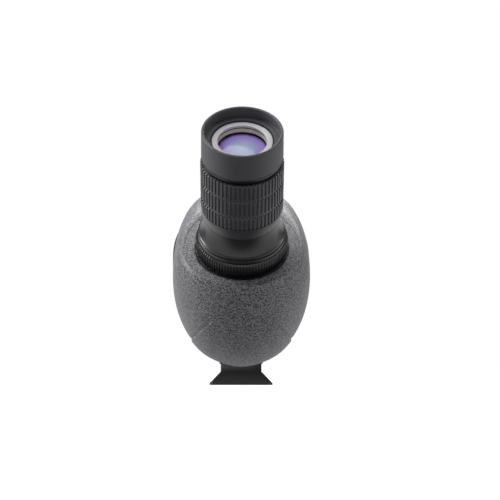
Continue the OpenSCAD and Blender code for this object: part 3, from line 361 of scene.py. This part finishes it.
SLOT_MATERIALS = {
    "casing_paint": CASING_PAINT, "rear_rubber": REAR_RUBBER, "front_rubber": FRONT_RUBBER,
    "foot_metal": FOOT_METAL, "screw_steel": SCREW_STEEL, "black_anodised": BLACK_ANODISED,
    "matte_black": MATTE_BLACK, "seal_rubber": SEAL_RUBBER, "felt": FELT, "optical_glass": OPTICAL_GLASS,
    "spacer_metal": SPACER_METAL, "clamp_steel": CLAMP_STEEL, "socket_metal": SOCKET_METAL,
    "grip_rubber": GRIP_RUBBER, "shade_paint": SHADE_PAINT, "barrel_satin": BARREL_SATIN,
    "gloss_black": GLOSS_BLACK, "zoom_rubber": ZOOM_RUBBER, "zoom_metal": ZOOM_METAL, "cam_brass": CAM_BRASS,
    "eye_glass": EYE_GLASS, "silver_ring": SILVER_RING, "sleeve_beige": BORE_PAINTED_REFLECTION, "cup_rubber": CUP_RUBBER,
}
for subpart in frame["record"]["subparts"]:
    mesh_data = NODES[subpart["node"]].data
    mesh_data.materials.clear()
    mesh_data.materials.append(SLOT_MATERIALS[subpart["material_slot"]])


# ---------------------------------------------------------------- casing surface

PIVOT_Y = -45.0
PIVOT_Z = 76.2
AXIS_H = MAIN.translation.z / MM
BODY_A = (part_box("rear_armour")[1].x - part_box("rear_armour")[0].x) / 2 / MM
BODY_RISE = 57.0
BODY_DROP = 50.0
FRONT_R = 41.2
PORT_R = 30.7
PORT_RHO = 84.75
REAR_END_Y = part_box("rear_armour")[1].y / MM
FRONT_START_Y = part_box("front_armour")[0].y / MM
FRONT_END_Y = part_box("front_armour")[1].y / MM
BELLY_STEP = 0.7
CROWN_RHO = PIVOT_Z - BODY_RISE
FLOOR_RHO = PIVOT_Z + BODY_DROP

# Sections of the housing, as in the CAD source:
# (angle, forward shift, top rho, bottom rho, half width, rho of the widest point, top exponent)
REAR_ROWS = [
    (45, 0, PORT_RHO - PORT_R, PORT_RHO + PORT_R, PORT_R, PORT_RHO, 2),
    (44.6, 0, 44.8, 115.8, 33.4, 84, 2),
    (42.6, 0, 36.9, 117, BODY_A * 0.9, 83.2, 2.1),
    (36.2, 0, 28.3, 120.2, BODY_A * 0.958, 82, 2.15),
    (30, 0, 24.6, 123, BODY_A * 0.981, 81, 2.25),
    (22, 0, CROWN_RHO + 1.2, FLOOR_RHO - 0.6, BODY_A * 0.997, 79.4, 2.4),
    (11, 0, CROWN_RHO + 0.3, FLOOR_RHO + 1.2, BODY_A, 77.8, 2.55),
    (0, 0, CROWN_RHO, FLOOR_RHO, BODY_A * 0.997, PIVOT_Z, 2.7),
    (0, -30 - PIVOT_Y, CROWN_RHO + 1.8, FLOOR_RHO, BODY_A * 0.995, PIVOT_Z, 2.7),
    (0, REAR_END_Y - PIVOT_Y, CROWN_RHO + 6.8, FLOOR_RHO, BODY_A * 0.993, PIVOT_Z, 2.7),
]
FRONT_ROWS = [
    (0, FRONT_START_Y - PIVOT_Y, CROWN_RHO + 7.6, FLOOR_RHO, BODY_A + 1.9, PIVOT_Z - 16, 2.5),
    (0, 4 - PIVOT_Y, PIVOT_Z - FRONT_R - 3.2, FLOOR_RHO, BODY_A + 1.6, PIVOT_Z - 10, 2.4),
    (0, 18 - PIVOT_Y, PIVOT_Z - FRONT_R - 1.4, FLOOR_RHO - 1.5, FRONT_R, PIVOT_Z - 4, 2.15),
    (0, 27 - PIVOT_Y, PIVOT_Z - FRONT_R - 0.3, PIVOT_Z + FRONT_R + 3, FRONT_R, PIVOT_Z - 1, 2),
    (0, FRONT_END_Y - PIVOT_Y, PIVOT_Z - FRONT_R, PIVOT_Z + FRONT_R, FRONT_R, PIVOT_Z, 2),
]

SEAM_RIDGE = 13.0
SEAM_SLOPE = math.tan(math.radians(35.8))


def row_at(rows, u):
    """A section between the listed ones: a smooth curve through them, held between its neighbours."""
    last = len(rows) - 1
    i = min(int(u), last - 1)
    f = u - i
    out = []
    for c in range(len(rows[0])):
        a, b = rows[i][c], rows[i + 1][c]
        before = rows[i - 1][c] if i > 0 else a
        after = rows[i + 2][c] if i + 2 <= last else b
        m0 = (b - before) / 2 if i > 0 else b - a
        m1 = (after - a) / 2 if i + 2 <= last else b - a
        limit = 3 * abs(b - a)
        same = b >= a
        m0 = max(0, min(limit, m0)) if same else min(0, max(-limit, m0))
        m1 = max(0, min(limit, m1)) if same else min(0, max(-limit, m1))
        h = ((2 * f - 3) * f * f + 1) * a + ((f - 2) * f + 1) * f * m0
        h += (3 - 2 * f) * f * f * b + (f - 1) * f * f * m1
        out.append(h)
    return out


def section_point(row, phi, grow):
    """A point of a section in metres; phi runs round from the lowest point, grow moves it outwards."""
    angle, shift, top, bottom, half, middle, power = row
    s, c = math.sin(phi), math.cos(phi)
    lower = c >= 0
    p = 1 if lower else 2 / power
    span = bottom - middle if lower else middle - top
    x = (half + grow) * math.copysign(abs(s) ** p, s)
    rho = middle + (1 if lower else -1) * (span + grow) * abs(c) ** p
    turn = math.radians(angle)
    y = PIVOT_Y - rho * math.sin(turn) + shift
    z = AXIS_H + PIVOT_Z - rho * math.cos(turn)
    return Vector((x, y, z)) * MM


def seam_phi(row):
    """Half angle of the belly armour at a section: where its surface crosses the seam's sloping plane."""
    low, high = 0.0, math.pi / 2

    def above(phi):
        point = section_point(row, phi, 0) / MM
        return point.z - (AXIS_H - SEAM_RIDGE - SEAM_SLOPE * abs(point.x))

    if above(low) > 0:
        return 0.0
    for _ in range(30):
        middle = (low + high) / 2
        if above(middle) > 0:
            high = middle
        else:
            low = middle
    return low


def grid_faces(rows, columns, first=0, wrap=False):
    """Quads of a grid of points."""
    faces = []
    for i in range(rows - 1):
        for j in range(columns if wrap else columns - 1):
            k = (j + 1) % columns
            a, b = first + i * columns + j, first + i * columns + k
            faces.append((a, b, b + columns, a + columns))
    return faces


def skin(name, rings_out, rings_in, body, material, replaces, wrap):
    """A closed skin between an outer and an inner grid of points."""
    rows, columns = len(rings_out), len(rings_out[0])
    vertices = [p for ring in rings_out for p in ring] + [p for ring in rings_in for p in ring]
    inner = rows * columns
    faces = grid_faces(rows, columns, 0, wrap) + grid_faces(rows, columns, inner, wrap)
    edge = [(0, j) for j in range(columns)]
    far = [(rows - 1, j) for j in range(columns)]
    loops = [edge + [edge[0]], far + [far[0]]] if wrap else [
        edge + [(i, columns - 1) for i in range(1, rows)] + far[::-1][1:] + [(i, 0) for i in range(rows - 2, -1, -1)]
    ]
    closed = [(ring[0] - ring[-1]).length < 1e-6 for ring in rings_out]
    for loop in loops:
        for (i, j), (k, m) in zip(loop, loop[1:]):
            a, b = i * columns + j, k * columns + m
            if i == k or not (closed[i] and closed[k]):
                faces.append((a, b, inner + b, inner + a))
    return make_object(name, vertices, faces, body, material, replaces, math.radians(50))


SKIN_T = 1.5
SEAM_FADE_X0 = 12.0
SEAM_FADE_W = 12.0
REAR_STATIONS = 72
AROUND = 160
PORT_HOLE_R = ring_of("rear_armour", EYE)[0]


def port_ring(columns_phi, radius, t):
    """A ring of points on the port, at a radius and height t over the port plane."""
    centre = section_point(REAR_ROWS[0], math.pi / 2, 0)
    centre.x = 0
    lift = Vector((0, -math.sqrt(0.5), math.sqrt(0.5)))
    down = Vector((0, -math.sqrt(0.5), -math.sqrt(0.5)))
    return [
        centre + (Vector((1, 0, 0)) * math.sin(phi) + down * math.cos(phi)) * radius * MM + lift * t * MM
        for phi in columns_phi
    ]


def eased(f):
    """0 to 1 with soft ends."""
    return f * f * (3 - 2 * f)


def rear_columns(row):
    """Angles round the rear armour from one seam edge to the other, closer together by the edges."""
    start = seam_phi(row)
    spread = 2 * math.pi - 2 * start
    return [start + spread * (0.15 * eased(j / AROUND) + 0.85 * j / AROUND) for j in range(AROUND + 1)]


def edge_dip(j, count, depth):
    """How far a skin dips at its cut edges."""
    near = min(j, count - j)
    return -depth * (1 - near / 1.5) if near < 1.5 else 0.0


def rear_armour():
    """The textured rear armour: raised port ring, shallow valley round it, and the soft seam below."""
    rings_out, rings_in = [], []
    last = len(REAR_ROWS) - 1
    first_u = 0.96
    stations = [first_u + (last - first_u) * (k / REAR_STATIONS) for k in range(REAR_STATIONS + 1)]
    columns = rear_columns(row_at(REAR_ROWS, first_u))
    first = [section_point(row_at(REAR_ROWS, first_u), phi, 0) for phi in columns]
    middle, lift = port_ring([0], 0, 0)[0], (port_ring([0], 0, 1)[0] - port_ring([0], 0, 0)[0]) / MM
    reach = [((p - middle) - lift * (p - middle).dot(lift)).length / MM for p in first]
    drop = [(p - middle).dot(lift) / MM for p in first]
    for radius, t in [(PORT_HOLE_R, -1.1), (PORT_HOLE_R, 0.2), (PORT_HOLE_R + 0.25, 0.42), (PORT_HOLE_R + 0.7, 0.5)]:
        rings_out.append(port_ring(columns, radius, t))
        rings_in.append(port_ring(columns, radius, -2.2))
    start_r = PORT_HOLE_R + 0.7
    for k in range(1, 16):
        f = k / 16
        outer, inner = [], []
        for phi, far, low in zip(columns, reach, drop):
            radius = start_r + (far - start_r) * f
            sides = math.exp(-((abs(phi - math.pi) - math.radians(128)) / math.radians(20)) ** 2)
            valley = -0.2 * math.exp(-((f - 0.8) / 0.16) ** 2) * (1 - math.cos(phi)) / 2
            bead = 0.34 * math.exp(-((f - 0.78) / 0.07) ** 2) * sides
            t = 0.5 + (low - 0.5) * eased(f) + valley + bead
            outer += port_ring([phi], radius, t)
            inner += port_ring([phi], radius, -2.2)
        rings_out.append(outer)
        rings_in.append(inner)
    for k, u in enumerate(stations):
        row = row_at(REAR_ROWS, u)
        phis = rear_columns(row)
        lip = -0.5 * max(0, 1 - (REAR_STATIONS - k) / 1.2)
        has_seam = phis[0] > 0
        ring = []
        for j, phi in enumerate(phis):
            side = eased(min(1, max(0, (abs(row[4] * math.sin(phi)) - SEAM_FADE_X0) / SEAM_FADE_W)))
            ring.append(section_point(row, phi, lip + (edge_dip(j, AROUND, 0.4) * side if has_seam else 0)))
        rings_out.append(ring)
        rings_in.append([section_point(row, phi, -SKIN_T) for phi in phis])
    return skin("rear_armour_skin", rings_out, rings_in, "scope_body", REAR_RUBBER,
                ["rear_armour"], False)


def belly_armour():
    """The proud lower armour, which ends in a point under the port."""
    last = len(REAR_ROWS) - 1
    low, high = 1.0, float(last)
    for _ in range(40):
        middle = (low + high) / 2
        if seam_phi(row_at(REAR_ROWS, middle)) > 0:
            high = middle
        else:
            low = middle
    rings_out, rings_in = [], []
    columns = 80
    rows = 56
    for k in range(rows + 1):
        u = high + (last - high) * (k / rows) ** 1.6
        row = row_at(REAR_ROWS, u)
        half = max(seam_phi(row), 0.0005)
        out, inner = [], []
        for j in range(columns + 1):
            f = j / columns
            phi = -half + 2 * half * (0.3 * eased(f) + 0.7 * f)
            side = eased(min(1, max(0, (abs(row[4] * math.sin(phi)) - SEAM_FADE_X0) / SEAM_FADE_W)))
            rise = BELLY_STEP * min(1, min(j, columns - j) / 1.5) ** 0.5 * side
            lip = -0.8 * max(0, 1 - (rows - k) / 1.2)
            out.append(section_point(row, phi, rise + lip))
            inner.append(section_point(row, phi, -SKIN_T))
        rings_out.append(out)
        rings_in.append(inner)
    return skin("belly_armour_skin", rings_out, rings_in, "scope_body", REAR_RUBBER,
                ["belly_armour"], False)


def front_armour():
    """The darker armour between the housing and the focus ring, open below for the foot's pad."""
    last = len(FRONT_ROWS) - 1
    count = 30
    columns = 176
    rings_out, rings_in = [], []
    pad_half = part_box("tripod_foot")[1].x / MM * 0.7
    for k in range(count + 1):
        row = row_at(FRONT_ROWS, last * k / count)
        lip = -0.6 * max(0, 1 - min(k, count - k) / 1.2)
        start = math.asin(min(1, pad_half / row[4]))
        phis = [start + (2 * math.pi - 2 * start) * j / columns for j in range(columns + 1)]
        rings_out.append([section_point(row, phi, lip) for phi in phis])
        rings_in.append([section_point(row, phi, -SKIN_T) for phi in phis])
    return skin("front_armour_skin", rings_out, rings_in, "scope_body", FRONT_RUBBER,
                ["front_armour"], False)


# ---------------------------------------------------------------- foot

def tripod_foot():
    """The dovetail foot with soft edges, its screw holes and the two tripod threads."""
    source = NODES["tripod_foot"]
    piece = bpy.data.objects.new("tripod_foot_body", source.data.copy())
    bpy.context.scene.collection.objects.link(piece)
    work = bmesh.new()
    work.from_mesh(piece.data)
    bmesh.ops.remove_doubles(work, verts=work.verts, dist=1e-6)
    bmesh.ops.dissolve_limit(work, angle_limit=math.radians(1), verts=work.verts, edges=work.edges)
    work.to_mesh(piece.data)
    work.free()
    bevel = piece.modifiers.new("soft_edges", "BEVEL")
    bevel.width = 1.0 * MM
    bevel.segments = 3
    bevel.limit_method = "ANGLE"
    bevel.angle_limit = math.radians(32)
    bpy.context.view_layer.objects.active = piece
    bpy.context.view_layer.update()
    shaped = bpy.data.meshes.new_from_object(piece.evaluated_get(bpy.context.evaluated_depsgraph_get()))
    piece.modifiers.clear()
    piece.data = shaped
    shaped.shade_smooth()
    shaped.set_sharp_from_angle(angle=math.radians(50))
    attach(piece, "scope_body")
    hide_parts("tripod_foot")
    return piece


# ---------------------------------------------------------------- rings on the eyepiece axis

TOOTH_SQUARE = [(0.0, 1), (0.22, 1), (0.26, 0.85), (0.285, 0.1), (0.32, 0), (0.68, 0), (0.715, 0.1), (0.74, 0.85), (0.78, 1)]
TOOTH_SOFT = [(0.0, 1), (0.13, 0.97), (0.22, 0.75), (0.34, 0.12), (0.5, 0), (0.66, 0.12), (0.78, 0.75), (0.87, 0.97)]


def eyecup():
    """The soft twist-up eyecup with a rounded rim."""
    inner, outer, low, high = ring_of("eyecup", EYE)
    floor_low = low + 8.6
    floor_high = floor_low + 1.6
    bore = outer - 1.47
    well = outer - 1.85
    profile = fillet([
        (bore, low), (outer, low), (outer, low + 1.0), (outer - 0.15, high), (well, high), (well, floor_high),
        (inner, floor_high), (inner, floor_low), (bore, floor_low),
    ], [0.1, 0.25, 0.2, 0.75, 0.75, 0.5, 0.15, 0.1, 0.1], 5)
    lathe("eyecup_rubber", profile, EYE, "eyecup", CUP_RUBBER, ["eyecup"])


def upper_collar():
    """The glossy collar under the eyecup."""
    inner, outer, low, high = ring_of("upper_collar", EYE)
    swell = [(outer - 0.64 * abs(k / 8 - 1) ** 1.6, low + (high - low) * k / 16) for k in range(17)]
    profile = [(inner, low)] + swell + [(outer - 0.78, high), (outer - 0.78, low + 1.4), (inner, low + 1.4)]
    lathe("upper_collar_ring", profile, EYE, "eyepiece", GLOSS_BLACK, ["upper_collar"])


def zoom_grip():
    """The rubber grip: three rows of flat ribs with two fine grooves between them."""
    inner, outer, low, high = ring_of("zoom_grip", EYE)
    rib_depth = 0.8
    root = outer - rib_depth
    rows = [(0, 7.8), (9.4, 19.6), (21, high - low)]
    profile = [(inner, low, 0), (root, low, 0)]
    for start, end in rows:
        a, b = low + start, low + end
        profile += [
            (root, a, 0), (outer - 0.2, a + 0.02, 1), (outer, a + 0.25, 1), (outer, b - 0.75, 1),
            (outer - 0.08, b - 0.5, 1), (outer - 0.42, b - 0.12, 1), (outer - 0.6, b - 0.02, 0.6), (root, b, 0),
        ]
    profile += [(inner, high, 0)]
    ribbed("zoom_grip_ribs", profile, EYE, 60, TOOTH_SQUARE, rib_depth, "zoom_ring", ZOOM_RUBBER,
           ["zoom_grip"])


def zoom_ring():
    """The zoom ring's metal: bare smooth band at its lower end, which swells to the grip's radius."""
    inner, outer, low, high = ring_of("zoom_ring", EYE)
    collar = outer - 1.0
    grip_root = outer - 1.35
    band_top = low + 7.4
    swell = [(collar + (outer - collar) * math.sin(k * math.pi / 20), low + 0.45 + 6.8 * k / 10) for k in range(11)]
    profile = [(inner, low), (collar - 0.35, low), (collar - 0.1, low + 0.12)] + swell
    profile += [(outer - 0.05, band_top), (outer - 0.35, band_top + 0.12), (grip_root, band_top + 0.3),
                (grip_root, high), (inner, high)]
    lathe("zoom_ring_band", profile, EYE, "zoom_ring", ZOOM_METAL, ["zoom_ring"])


def eyepiece_barrel():
    """The barrel: two glossy flange rings with a groove, then a long hollow flare to the slim neck."""
    inner, outer, low, high = ring_of("eyepiece_barrel", EYE)
    neck = ring_of("upper_collar", EYE)[1] - 0.4
    waist = low + 4.4
    flare = [
        (neck + (outer - 0.9 - neck) * (1 - k / 16) ** 2.3, waist + (high - waist) * k / 16) for k in range(1, 16)
    ]
    profile = fillet([(outer - 1.2 + 1.2, low), (outer, low + 2.0), (outer - 0.75, low + 2.15),
                      (outer - 0.75, low + 2.75), (outer - 0.3, low + 2.9), (outer - 0.3, waist - 0.4),
                      (outer - 0.8, waist)], [0.3, 0.45, 0.08, 0.08, 0.2, 0.3, 0.1], 4)
    profile = [(inner + 2.3, low)] + profile + flare + [(neck, high), (inner + 2, high), (inner + 2, low + 7),
                                                        (inner + 2.3, low + 4)]
    lathe("eyepiece_barrel_body", profile, EYE, "eyepiece", BARREL_SATIN, ["eyepiece_barrel"])


def lock_ring():
    """The finely knurled glossy lock ring."""
    inner, outer, low, high = ring_of("lock_ring", EYE)
    neck_bore = inner + 2.57
    depth = 0.6
    profile = [
        (neck_bore, low, 0), (outer - 0.9, low, 0), (outer - 0.6, low + 0.25, 0.2), (outer - 0.12, low + 0.75, 1),
        (outer, low + 1.0, 1), (outer, high - 1.1, 1), (outer - 0.1, high - 0.92, 1), (outer - 0.85, high - 0.17, 0.5),
        (outer - 0.95, high, 0), (inner, high, 0), (inner, high - 1.7, 0), (neck_bore, high - 1.8, 0),
    ]
    ribbed("lock_ring_knurl", profile, EYE, 96, TOOTH_SOFT, depth, "lock_ring", GLOSS_BLACK,
           ["lock_ring"])


def eye_end():
    """The silver ring round the eye lens, the stepped bore under it, and the coated lens. The bore's light beige band
    is a painted reflection, and the black rings above and below it are painted shade in the gaps.
    """
    inner, outer, low, high = ring_of("eye_ring", EYE)
    lathe("eye_ring_face", fillet([(inner, low), (outer, low), (outer, high), (inner, high)],
                                  [0.05, 0.1, 0.2, 0.25]), EYE, "eyepiece", SILVER_RING, ["eye_ring"])
    s_in, s_out, s_low, s_high = ring_of("bore_sleeve", EYE)
    # Light beige band: a painted reflection in the bore.
    lathe("bore_sleeve_band", fillet([
        (s_in + 0.35, s_low + 0.9), (s_out, s_low + 0.9), (s_out, s_high - 0.8), (s_in + 0.75, s_high - 0.8),
    ], 0.08), EYE, "eyepiece", BORE_PAINTED_REFLECTION, ["bore_sleeve"])
    # Two matte black rings: painted shade standing in for the shadowed gaps under the silver ring and above the lens.
    for name, r, t0, t1 in [("lens_gap_painted_shade", s_in, s_low, s_low + 0.8), ("ring_gap_painted_shade", s_in + 0.3, s_high - 0.7, s_high)]:
        lathe(name, [(r, t0), (s_out, t0), (s_out, t1), (r, t1)], EYE, "eyepiece", MATTE_BLACK)
    _, lens_r, lens_low, lens_high = EYE_LENS_RING
    curve = 33.0
    rise = curve - math.sqrt(curve * curve - lens_r * lens_r)
    dome("eye_lens_dome", lens_r, lens_low, lens_high - rise, curve, EYE, "eyepiece", EYE_GLASS,
         ["eye_lens"])


# ---------------------------------------------------------------- rings on the main axis

def focus_group():
    """The focus ring's metal and its ribbed rubber grip."""
    inner, outer, low, high = ring_of("focus_ring", MAIN)
    lathe("focus_ring_metal", fillet([(inner, low), (outer, low), (outer, high), (inner, high)],
                                     [0.1, 0.5, 0.5, 0.1]), MAIN, "focus_ring", BLACK_ANODISED,
          ["focus_ring"])
    inner, outer, low, high = ring_of("focus_grip", MAIN)
    root = outer - 0.75
    profile = [
        (inner, low, 0), (root - 0.2, low, 0), (root, low + 0.25, 0), (root, low + 0.9, 0), (outer - 0.3, low + 1.1, 1),
        (outer, low + 1.6, 1), (outer, high - 1.6, 1), (outer - 0.3, high - 1.1, 1), (root, high - 0.9, 0),
        (root, high - 0.25, 0), (root - 0.2, high, 0), (inner, high, 0),
    ]
    ribbed("focus_grip_ribs", profile, MAIN, 72, TOOTH_SQUARE, 0.75, "focus_ring", GRIP_RUBBER,
           ["focus_grip"])


def objective_end():
    """Objective barrel, its coated front lens, the sliding sunshade and its bumper."""
    inner, outer, low, high = ring_of("objective_barrel", MAIN)
    step_y = ring_of("main_tube", MAIN)[3] + 0.3
    wide = ring_of("objective_cell", MAIN)[1] + 0.05
    felt_low = ring_of("sunshade_felts", MAIN)[2]
    felt_high = ring_of("sunshade_felts", MAIN)[3]
    felt_w = 4.0
    depth = 0.7
    grooves = []
    for start in (felt_low, felt_high - felt_w):
        grooves += [(outer, start), (outer - depth, start), (outer - depth, start + felt_w), (outer, start + felt_w)]
    filter_steps = []
    for k in range(6):
        y = high - 0.6 - k * 0.75
        filter_steps += [(wide + 0.9, y), (wide + 0.55, y - 0.375)]
    profile = [(inner, low), (outer - 0.5, low), (outer, low + 0.5)] + grooves
    profile += [(outer, high - 0.6), (outer - 0.4, high), (wide + 1.1, high)] + filter_steps
    profile += [(wide, high - 5.2), (wide, step_y), (inner, step_y)]
    lathe("objective_barrel_tube", profile, MAIN, "scope_body", BLACK_ANODISED,
          ["objective_barrel"])
    _, lens_r, _, lens_high = OBJECTIVE_RING
    curve = 210.0
    rise = curve - math.sqrt(curve * curve - lens_r * lens_r)
    dome("crown_lens_face", lens_r, lens_high - rise - 3.2, lens_high - rise, curve, MAIN, "scope_body",
         FRONT_GLASS, ["crown_lens"])
    inner, outer, low, high = ring_of("sunshade", MAIN)
    profile = [(inner, low), (outer - 0.5, low), (outer, low + 0.6)]
    for k in range(3):
        y = low + 3 + k * 2.4
        profile += [(outer, y), (outer - 0.35, y + 0.2), (outer - 0.35, y + 1.0), (outer, y + 1.2)]
    profile += [(outer, high), (inner, high)]
    lathe("sunshade_tube", profile, MAIN, "sunshade", SHADE_PAINT, ["sunshade"])
    inner, outer, low, high = ring_of("sunshade_bumper", MAIN)
    lathe("sunshade_bumper_ring", fillet([(inner, low), (outer, low), (outer, high), (inner, high)],
                                         [0.1, 0.9, 1.6, 0.8], 6), MAIN, "sunshade", GRIP_RUBBER,
          ["sunshade_bumper"])


# ---------------------------------------------------------------- camera, light and floor

def studio():
    """Pale floor, soft boxes on both sides, and a bright wall of light beyond the objective."""
    scene = bpy.context.scene
    scene.view_settings.view_transform = "Standard"
    camera = bpy.data.objects.new("camera", bpy.data.cameras.new("camera"))
    camera.data.lens = 144
    camera.data.sensor_width = 36
    camera.location = (-0.006, -1.236, 0.009)
    camera.rotation_euler = (math.radians(90 + 3.434), 0, math.radians(-0.54))
    scene.collection.objects.link(camera)
    scene.camera = camera

    world = bpy.data.worlds.new("studio")
    scene.world = world
    world.use_nodes = True
    tree = world.node_tree
    place = tree.nodes.new("ShaderNodeTexCoord")
    split = tree.nodes.new("ShaderNodeSeparateXYZ")
    tree.links.new(place.outputs["Generated"], split.inputs[0])
    sideways = tree.nodes.new("ShaderNodeMath")
    sideways.operation = "ABSOLUTE"
    tree.links.new(split.outputs["X"], sideways.inputs[0])
    sides = ramp(tree, sideways.outputs[0], [(0.75, 0.08), (0.95, 0.7)])
    behind = ramp(tree, split.outputs["Y"], [(0.6, 0.0), (0.85, 0.7)])
    light = mix_colour(tree, "LIGHTEN", 1.0, sides, behind)
    height = ramp(tree, split.outputs["Z"], [(0.1, 1.0), (0.6, 0.3)])
    light = mix_colour(tree, "MULTIPLY", 1.0, light, height)
    down = tree.nodes.new("ShaderNodeMath")
    down.operation = "MULTIPLY"
    down.inputs[1].default_value = -1
    tree.links.new(split.outputs["Z"], down.inputs[0])
    table = ramp(tree, down.outputs[0], [(0.02, 0.0), (0.04, 0.85), (0.62, 0.8), (0.92, 0.06)])
    light = mix_colour(tree, "LIGHTEN", 1.0, light, table)
    seen = tree.nodes.new("ShaderNodeRGB")
    seen.outputs[0].default_value = (1, 1, 1, 1)
    rays = tree.nodes.new("ShaderNodeLightPath")
    colour = mix_colour(tree, "MIX", rays.outputs["Is Camera Ray"], light, seen.outputs[0])
    tree.links.new(colour, tree.nodes["Background"].inputs["Color"])

    for name, place, power, width, height in [
        ("key_left", (-1.4, -0.1, 0.8), 24, 0.5, 0.9),
        ("fill_right", (1.45, -0.1, 0.75), 6, 0.3, 0.9),
        ("top", (-0.25, -0.5, 1.45), 13, 1.3, 1.0),
        ("back", (0.1, 0.9, 1.15), 26, 1.2, 0.7),
    ]:
        data = bpy.data.lights.new(name, "AREA")
        data.shape = "RECTANGLE"
        data.size = width
        data.size_y = height
        data.energy = power
        lamp = bpy.data.objects.new(name, data)
        lamp.location = place
        lamp.rotation_euler = (Vector((0, -0.03, 0.07)) - Vector(place)).to_track_quat("-Z", "Y").to_euler()
        scene.collection.objects.link(lamp)

    floor_mesh = bpy.data.meshes.new("floor")
    half = 4.0
    floor_mesh.from_pydata([(-half, -half, 0), (half, -half, 0), (half, half, 0), (-half, half, 0)], [], [(0, 1, 2, 3)])
    floor = bpy.data.objects.new("floor", floor_mesh)
    scene.collection.objects.link(floor)
    material, tree, shader, place = start_material("floor_paper")
    speck = noise(tree, place, 3.0, 2.0)
    tree.links.new(ramp(tree, speck, [(0.3, 0.22), (0.7, 0.24)]), shader.inputs["Base Color"])
    shader.inputs["Roughness"].default_value = 0.9
    shader.inputs["Specular IOR Level"].default_value = 0.1
    shader.inputs["Emission Color"].default_value = (1, 1, 1, 1)
    shader.inputs["Emission Strength"].default_value = 1.0
    floor_mesh.materials.append(material)
    floor.visible_diffuse = False
    floor.visible_glossy = False
    floor.visible_shadow = False


studio()
rear_armour()
belly_armour()
front_armour()
tripod_foot()
eyecup()
upper_collar()
zoom_grip()
zoom_ring()
eyepiece_barrel()
lock_ring()
eye_end()
focus_group()
objective_end()
